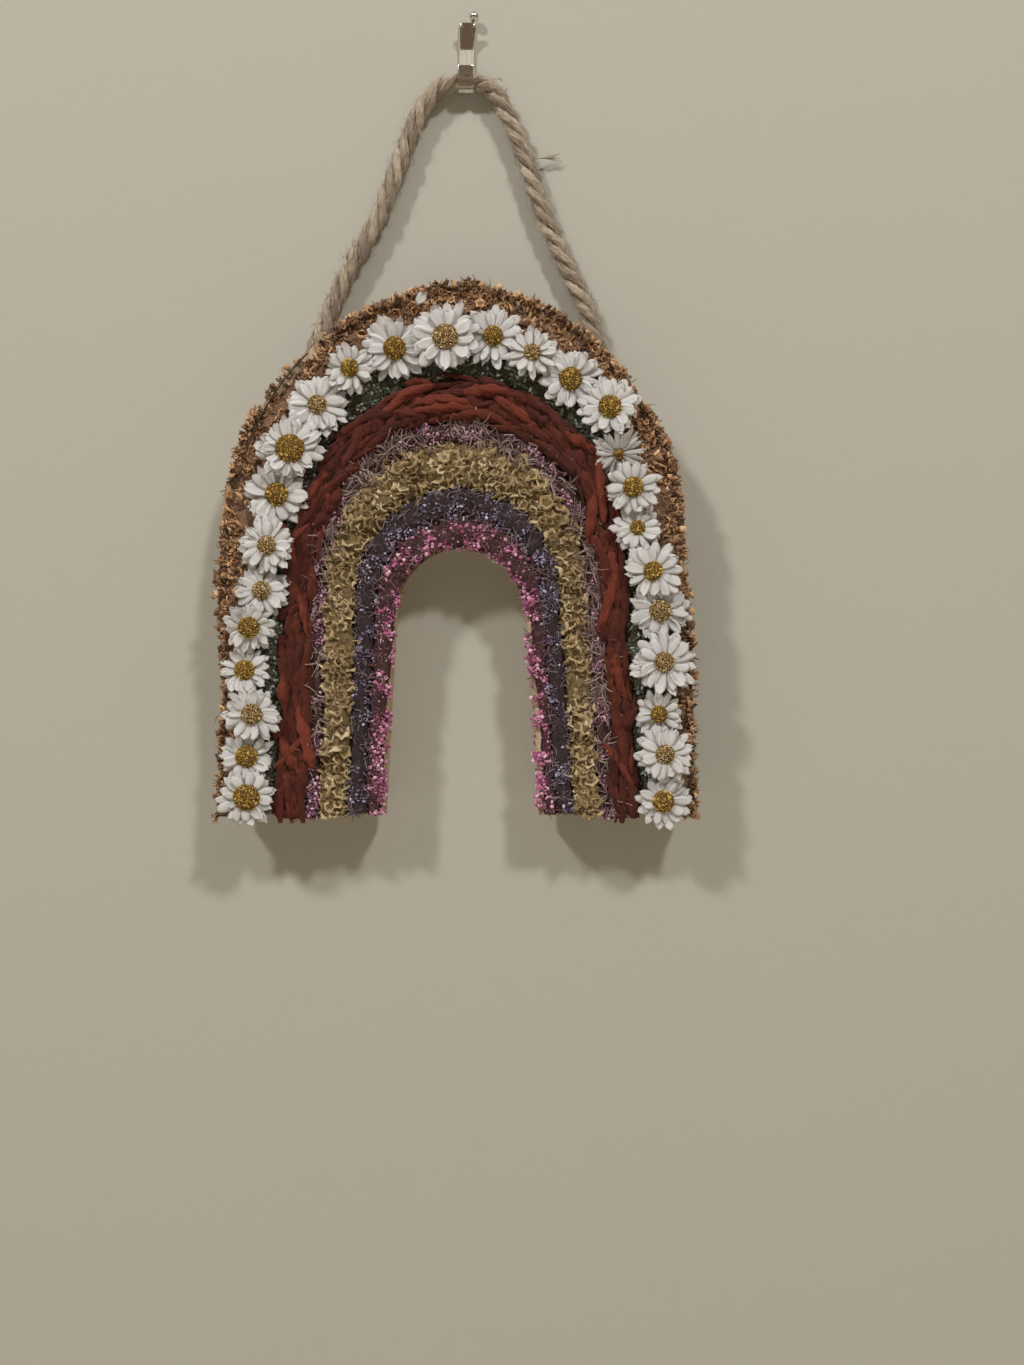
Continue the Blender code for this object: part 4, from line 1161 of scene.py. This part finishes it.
def make_daisies(scatter):
    # White paper petals on a dry olive calyx, greyed by painted shade at their feet and in their
    # under layer; grainy eyes, dark between their florets, whose undersides are painted in shade
    paper = petal_finish()
    green = plant_finish("dry_calyx", ((0.0, "3E3C22"), (0.5, "5A5830"), (1.0, "7C7848")),
                         "2A2A18")
    mustard = plant_finish("mustard_eye", ((0.0, "7E5C18"), (0.35, "A07C28"), (0.7, "BC9A3E"),
                                           (1.0, "D8BE6C")), "5A4212", fleck=0.4 * MM)
    tan = plant_finish("tan_eye", ((0.0, "9C8254"), (0.4, "B89F6E"), (0.75, "CEB88E"),
                                   (1.0, "E2D4B2")), "7A6238", fleck=0.4 * MM)
    dark = bed_finish("eye_base", "3A280E", "5E4620", "7E6434")
    domes = {"mustard": [[], []], "tan": [[], []]}
    for number, row in enumerate(DAISIES, start=1):
        x, z, across, eye, kind, below, above, wide, tone, tilt = row
        dice = random.Random(100 + number)
        radius = 0.5 * across * MM
        high = daisy_high(number)
        lean = Euler((radians(tilt[0]), radians(tilt[1]), 0.0)).to_matrix().to_4x4()
        seat = FRONT @ Matrix.Translation((x * MM, z * MM, high)) @ lean
        points, faces, marks, tints, slots = [], [], [], [], []
        # The lower layer's petals are painted darker, as painted shade under the upper layer
        for layer, (count, reach, lift, layer_shade) in enumerate(
                ((below + 5, 1.12, 0.1, 0.80), (above + 4, 1.0, 0.85, 1.0))):
            first_turn = dice.uniform(0.0, TURN)
            for k in range(count):
                turn = first_turn + TURN * (k + dice.uniform(-0.22, 0.22)) / count
                long = radius * reach * dice.uniform(0.84, 1.06)
                half = (0.170, 0.195)[layer] * radius * wide * dice.uniform(0.78, 1.20)
                shape, grain, sides = petal(0.14 * radius, long, half, dice.uniform(0.3, 1.6) * MM,
                    dice.uniform(-1.6, 1.2) * MM, dice.uniform(-0.35, 0.35),
                    dice.uniform(-1.2, 1.2) * MM, 0.10 * MM,
                    [dice.uniform(0.0, 0.13) for _ in PETAL_COLUMNS])
                spin = seat @ Matrix.Translation((0.0, 0.0, lift * MM)) @ Matrix.Rotation(
                    turn, 4, "Z") @ Matrix.Rotation(dice.uniform(-0.26, 0.26), 4, "X")
                mark = dice.random()
                shade = layer_shade * tone * dice.uniform(0.78, 1.12)
                add_shape(points, faces, [spin @ Vector(p) for p in shape], sides)
                marks += [(u, t, mark) for u, t in grain]
                tints += [shade] * len(shape)
                slots += [0] * len(sides)
        calyx = ((0.0, 0.0, -high, 0.5), (1.1 * MM, 1.1 * MM, -high, 0.5),
                 (1.1 * MM, 1.1 * MM, -2.0 * MM, 0.6),
                 (0.30 * radius, 0.26 * radius, -0.2 * MM, 0.8), (0.0, 0.0, 0.4 * MM, 0.8))
        shape, sides, _ = ringed_head(calyx, 10, dice, 0.0)
        spot = FRONT @ Matrix.Translation((x * MM, z * MM, high))
        add_shape(points, faces, [spot @ Vector(p) for p in shape], sides)
        marks += [(0.0, 0.0, 0.0)] * len(shape)
        tints += [0.5] * len(shape)
        slots += [1] * len(sides)
        mesh = make_mesh(f"daisy_{number:02d}", points, faces, {"petal": marks, "tint": tints,
                          "shade": [1.0] * len(points)}, slots)
        head = add_piece(f"daisy_{number:02d}_petals", mesh, [paper, green])
        settle(head, "daisies", f"daisy_{number:02d}")
        half_eye = 0.5 * eye * MM * (0.55 if kind == "side" else 1.0)
        eye_high = min(3.0 * MM, 0.33 * eye * MM)
        dome, sides, _ = ringed_head(
            ((0, 0, 0.3 * MM, 0), (0.92 * half_eye, 0.92 * half_eye, 0.3 * MM, 0),
             (half_eye, half_eye, 0.9 * MM, 0),
             (0.86 * half_eye, 0.86 * half_eye, 0.75 * MM + 0.55 * eye_high, 0),
             (0.5 * half_eye, 0.5 * half_eye, 0.8 * MM + 0.9 * eye_high, 0),
             (0, 0, 0.8 * MM + eye_high, 0)), 16, dice, 0.0)
        add_shape(*domes["tan" if kind == "tan" else "mustard"],
                  [seat @ Vector(p) for p in dome], sides)
    shape, grain, sides = petal(0.0, 6.4 * MM, 2.3 * MM, 0.6 * MM, 0.5 * MM, 0.3, 0.4 * MM,
                                0.12 * MM, (0.10, 0.0, 0.05, 0.0, 0.12))
    spin = FRONT @ Matrix.Translation((-20.4 * MM, -117.1 * MM, 4.8 * MM)) @ Matrix.Rotation(
        radians(40.0), 4, "Z")
    loose = make_mesh("loose_petal", [spin @ Vector(p) for p in shape], sides,
                      {"petal": [(u, t, 0.4) for u, t in grain], "tint": [0.3] * len(shape),
                       "shade": [1.0] * len(shape)})
    settle(add_piece("loose_petal", loose, [paper]), "daisies")
    grains = head_set("eye_heads", (("bean", 4), ("ball", 1)), 37)
    for kind, finish, spacing, largest in (("mustard", mustard, 0.78, 0.78),
                                           ("tan", tan, 0.66, 0.62)):
        points, faces = domes[kind]
        florets = grow(f"{kind}_eye_florets", make_mesh("domes", points, faces), scatter,
                       {"Heads": grains, "Spacing": spacing * MM, "Smallest": 0.48 * MM,
                        "Largest": largest * MM, "Tilt": 0.35, "Patches": 400.0, "Bare": 0.0,
                        "Lift": 0.25 * MM, "Seed": 17, "Finish": finish})
        settle(florets, "daisies")
        base = add_piece(f"{kind}_eye_domes", make_mesh("domes", points, faces), [dark])
        settle(base, "daisies")


# Hook and nail
HOOK_MIDDLE_X = -0.3 * MM
HOOK_WIDE = 6.7 * MM
HOOK_THICK = 1.0 * MM
HOOK_TOP_Z = 15.0 * MM
HOOK_CURL_Z = -12.9 * MM
HOOK_CURL_INNER = 3.65 * MM
HOOK_LIP_TOP_Z = -8.0 * MM
HOOK_LIP_LEAN = 1.1 * MM
HOOK_CURL_STEPS = 24
LUG_RADIUS = 0.8 * MM
TONGUE_FOOT = (4.0, 5.9)
TONGUE_TOP = (13.3, 7.3)
TONGUE_LEAN = 4.4 * MM
TONGUE_THICK = 0.8 * MM
NAIL_HEAD = Vector((3.0, -3.2, 16.8)) * MM
NAIL_WALL_POINT = Vector((0.2, 0.0, 11.0)) * MM
NAIL_RADIUS = 0.65 * MM
NAIL_HEAD_RADIUS = 2.2 * MM


def prism(name, outline, side, ease, finish):
    """An outline given some thickness along a side vector, its edges eased."""
    count = len(outline)
    points = [Vector(p) for p in outline] + [Vector(p) + side for p in outline]
    faces = [tuple(range(count)), tuple(count + i for i in range(count))]
    for i in range(count):
        j = (i + 1) % count
        faces.append((i, j, count + j, count + i))
    mesh = make_mesh(name, points, faces)
    turned_out(mesh)
    piece = add_piece(name, mesh, [finish])
    bevel = piece.modifiers.new("eased_edges", "BEVEL")
    bevel.width = ease
    bevel.segments = 2
    bevel.limit_method = "ANGLE"
    bevel.angle_limit = radians(40.0)
    mesh.set_sharp_from_angle(angle=radians(40.0))
    return piece


def make_hook():
    # Polished nickel plate: bands of dark and light from the room
    nickel = nickel_finish("polished_nickel", 0.16)
    outer = HOOK_CURL_INNER + HOOK_THICK
    profile = [(0.0, HOOK_TOP_Z), (0.0, HOOK_CURL_Z)]
    for i in range(1, HOOK_CURL_STEPS + 1):
        angle = pi * (1.0 + i / HOOK_CURL_STEPS)
        profile.append((outer + outer * cos(angle), HOOK_CURL_Z + outer * sin(angle)))
    profile.append((2.0 * outer + HOOK_LIP_LEAN, HOOK_LIP_TOP_Z))
    profile.append((2.0 * outer - HOOK_THICK + HOOK_LIP_LEAN, HOOK_LIP_TOP_Z))
    for i in range(HOOK_CURL_STEPS + 1):
        angle = pi * (2.0 - i / HOOK_CURL_STEPS)
        profile.append((outer + HOOK_CURL_INNER * cos(angle),
                        HOOK_CURL_Z + HOOK_CURL_INNER * sin(angle)))
    profile.append((HOOK_THICK, HOOK_TOP_Z))
    left = HOOK_MIDDLE_X - 0.5 * HOOK_WIDE
    strip = prism("hook_strip", [(left, -off, z) for off, z in profile],
                  Vector((HOOK_WIDE, 0.0, 0.0)), 0.22 * MM, nickel)
    settle(strip, "bright_steel", "hook")
    lean = Vector((0.0, -TONGUE_LEAN, (TONGUE_TOP[0] - TONGUE_FOOT[0]) * MM))
    foot = Vector((HOOK_MIDDLE_X, -0.6 * MM, TONGUE_FOOT[0] * MM))
    top = foot + lean + Vector((0.7 * MM, 0.0, 0.0))
    half_foot, half_top = 0.5 * TONGUE_FOOT[1] * MM, 0.5 * TONGUE_TOP[1] * MM
    corner = 1.2 * MM
    down = lean.normalized() * -corner
    outline = [foot + Vector((-half_foot, 0, 0)), foot + Vector((half_foot, 0, 0))]
    for sign, turns in ((1.0, range(5)), (-1.0, range(4, -1, -1))):
        for turn in turns:
            angle = 0.125 * pi * turn
            wide = half_top - corner * (1.0 - cos(angle))
            outline.append(top + Vector((sign * wide, 0, 0)) + down * (1.0 - sin(angle)))
    front = Vector((0.0, -lean.z, lean.y)).normalized() * TONGUE_THICK
    tongue = prism("hook_tongue", outline, front, 0.2 * MM, nickel)
    settle(tongue, "bright_steel")
    points, faces = [], []
    rings = [(LUG_RADIUS * sin(pi * k / 8), LUG_RADIUS * sin(pi * k / 8),
              -LUG_RADIUS * cos(pi * k / 8), 1.0) for k in range(9)]
    for sign in (-1.0, 1.0):
        ball, sides, _ = ringed_head(rings, 14, random.Random(5), 0.0)
        middle = top + front + down + Vector((sign * (half_top - LUG_RADIUS), 0.0, 0.0))
        add_shape(points, faces, [middle + Vector(p) for p in ball], sides)
    lugs = add_piece("hook_lugs", turned_out(make_mesh("lugs", points, faces)), [nickel])
    settle(lugs, "bright_steel")


def make_nail(sweep):
    # The same plating, brighter: a small ball with one sharp highlight
    steel = nickel_finish("nail_nickel", 0.12)
    along = (NAIL_WALL_POINT - NAIL_HEAD).normalized()
    path = [NAIL_HEAD + along * NAIL_HEAD_RADIUS * -cos(pi * i / 12) for i in range(13)]
    radii = [max(NAIL_HEAD_RADIUS * sin(pi * i / 12), 0.02 * MM) for i in range(13)]
    shank_length = (NAIL_WALL_POINT - NAIL_HEAD).length
    path = path[:11] + [NAIL_HEAD + along * (NAIL_HEAD_RADIUS * 1.02),
                        NAIL_HEAD + along * (shank_length - 1.35 * MM)]
    radii = radii[:11] + [NAIL_RADIUS, NAIL_RADIUS]
    nail = grow("nail_pin", line_mesh("nail_line", [(path, radii, 0.5)]), sweep,
                {"Sides": 20, "Ridges": 0.0, "Ridge per metre": 1.0, "Finish": steel})
    settle(nail, "nail_steel", "nail")


# Stage
STAGE_REACH = 2.5
FLOOR_Z = -0.75
WALL_Y = 0.0006
CARD_HALF = 0.12
CARD_Y = -0.45
LIGHT_AWAY = 2.4
LIGHTS = (
    # name, the way towards it, watts, size in metres
    ("key_left", (-25.0, -30.0, 30.0), 27.5, 0.25),
    ("key_right", (16.0, -30.0, 30.0), 27.5, 0.25),
    ("back_fill", (-10.0, 30.0, 14.0), 8.0, 0.5),
)


def make_camera():
    camera = bpy.data.cameras.new("camera")
    camera.lens = LENS_MM
    camera.sensor_width = LONG_SIDE_MM
    camera.clip_start = 0.01
    camera.clip_end = 20.0
    holder = bpy.data.objects.new("camera", camera)
    holder.location = CAMERA_PLACE
    holder.rotation_euler = (pi / 2, 0.0, 0.0)
    bpy.context.scene.collection.objects.link(holder)
    bpy.context.scene.camera = holder


def sheet(name, finish, hidden, corners, faces=((0, 1, 2, 3),)):
    """A flat piece of the stage, unseen by some kinds of ray."""
    piece = add_piece(name, make_mesh(name, corners, faces), [finish], smooth=False)
    for ray in hidden:
        setattr(piece, "visible_" + ray, False)
    return piece


def make_stage():
    """A plain wall, seen only from in front, a floor, and cards for reflections."""
    # Matt wall paint with a fine roller texture
    finish, tree, shader = start_finish("wall_paint", 0.75, Specular_IOR_Level=0.25)
    shader.inputs["Base Color"].default_value = rgb("B4B2A8")
    place = node(tree, "ShaderNodeTexCoord").outputs["Object"]
    peel = node(tree, "ShaderNodeTexNoise", {"Vector": place, "Scale": 260.0, "Detail": 2.0})
    rough = node(tree, "ShaderNodeBump", {"Strength": 0.10, "Distance": 1.0 * MM, "Height": peel})
    tree.links.new(rough.outputs[0], shader.inputs["Normal"])
    side = node(tree, "ShaderNodeNewGeometry")
    clear = node(tree, "ShaderNodeBsdfTransparent")
    either = node(tree, "ShaderNodeMixShader", {0: side.outputs["Backfacing"],
                                                1: shader, 2: clear})
    tree.links.new(either.outputs[0], tree.nodes["Material Output"].inputs["Surface"])
    r, low, out, under = STAGE_REACH, FLOOR_Z, CARD_HALF, FLOOR_Z + 0.01
    wall = sheet("wall", finish, ("diffuse", "shadow", "transmission"), [
        (-r, WALL_Y, low), (r, WALL_Y, low), (r, WALL_Y, r), (-r, WALL_Y, r)])
    # Plain pale paint, dark felt, and white paper that glows as if lit
    pale = start_finish("floor_paint", 0.8, Base_Color=rgb("CFC9BC"))[0]
    felt = start_finish("card_felt", 0.9, Base_Color=rgb("94826E"))[0]
    bright = start_finish("card_paper", 0.9, Emission_Color=rgb("FFF4E4"),
                          Emission_Strength=0.37)[0]
    floor = sheet("floor", pale, (), [(-r, -r, low), (r, -r, low), (r, r, low), (-r, r, low)])
    unseen = ("camera", "diffuse", "shadow", "transmission", "volume_scatter")
    card = sheet("dark_card", felt, unseen, [
        (-out, CARD_Y, 0.09), (out, CARD_Y, 0.09), (out, CARD_Y, under), (-out, CARD_Y, under),
        (out, -0.04, under), (-out, -0.04, under)], [(0, 1, 2, 3), (3, 2, 4, 5)])
    panel = sheet("light_card", bright, unseen, [
        (-out, CARD_Y, 0.16), (out, CARD_Y, 0.16), (out, CARD_Y, 0.34), (-out, CARD_Y, 0.34)])


def make_lights():
    scene = bpy.context.scene
    scene.view_settings.view_transform = "Standard"
    world = bpy.data.worlds.new("studio")
    world.use_nodes = True
    scene.world = world
    tree = world.node_tree
    place = node(tree, "ShaderNodeTexCoord").outputs["Generated"]
    parts = node(tree, "ShaderNodeSeparateXYZ", {0: place})
    up = node(tree, "ShaderNodeMapRange", {0: parts.outputs[2], 1: -1.0, 2: 1.0})
    sky = node(tree, "ShaderNodeValToRGB", {0: up},
               ((0.0, "6E5A44"), (0.40, "85705A"), (0.56, "D6C4A6"), (1.0, "FFF4E0")))
    tree.links.new(sky.outputs[0], tree.nodes["Background"].inputs["Color"])
    tree.nodes["Background"].inputs["Strength"].default_value = 0.33
    target = Vector((0.0, -0.015, -0.2))
    for name, toward, power, size in LIGHTS:
        light = bpy.data.lights.new(name, "AREA")
        light.shape = "DISK"
        light.size = size
        light.energy = power
        light.color = rgb("FFFBF7")[:3]
        holder = bpy.data.objects.new(name, light)
        away = Vector(toward).normalized()
        holder.location = target + away * LIGHT_AWAY
        holder.rotation_euler = away.to_track_quat("Z", "Y").to_euler()
        scene.collection.objects.link(holder)


make_camera()
sweep = sweep_tree()
make_rope(sweep)
scatter = scatter_tree()
make_board()
make_pink(scatter, sweep)
make_blue(scatter, sweep)
make_cream(scatter)
make_mauve(scatter, sweep)
make_red(sweep)
make_green(scatter, sweep)
make_brown(scatter, sweep)
make_daisies(scatter)
make_hook()
make_nail(sweep)
make_stage()
make_lights()
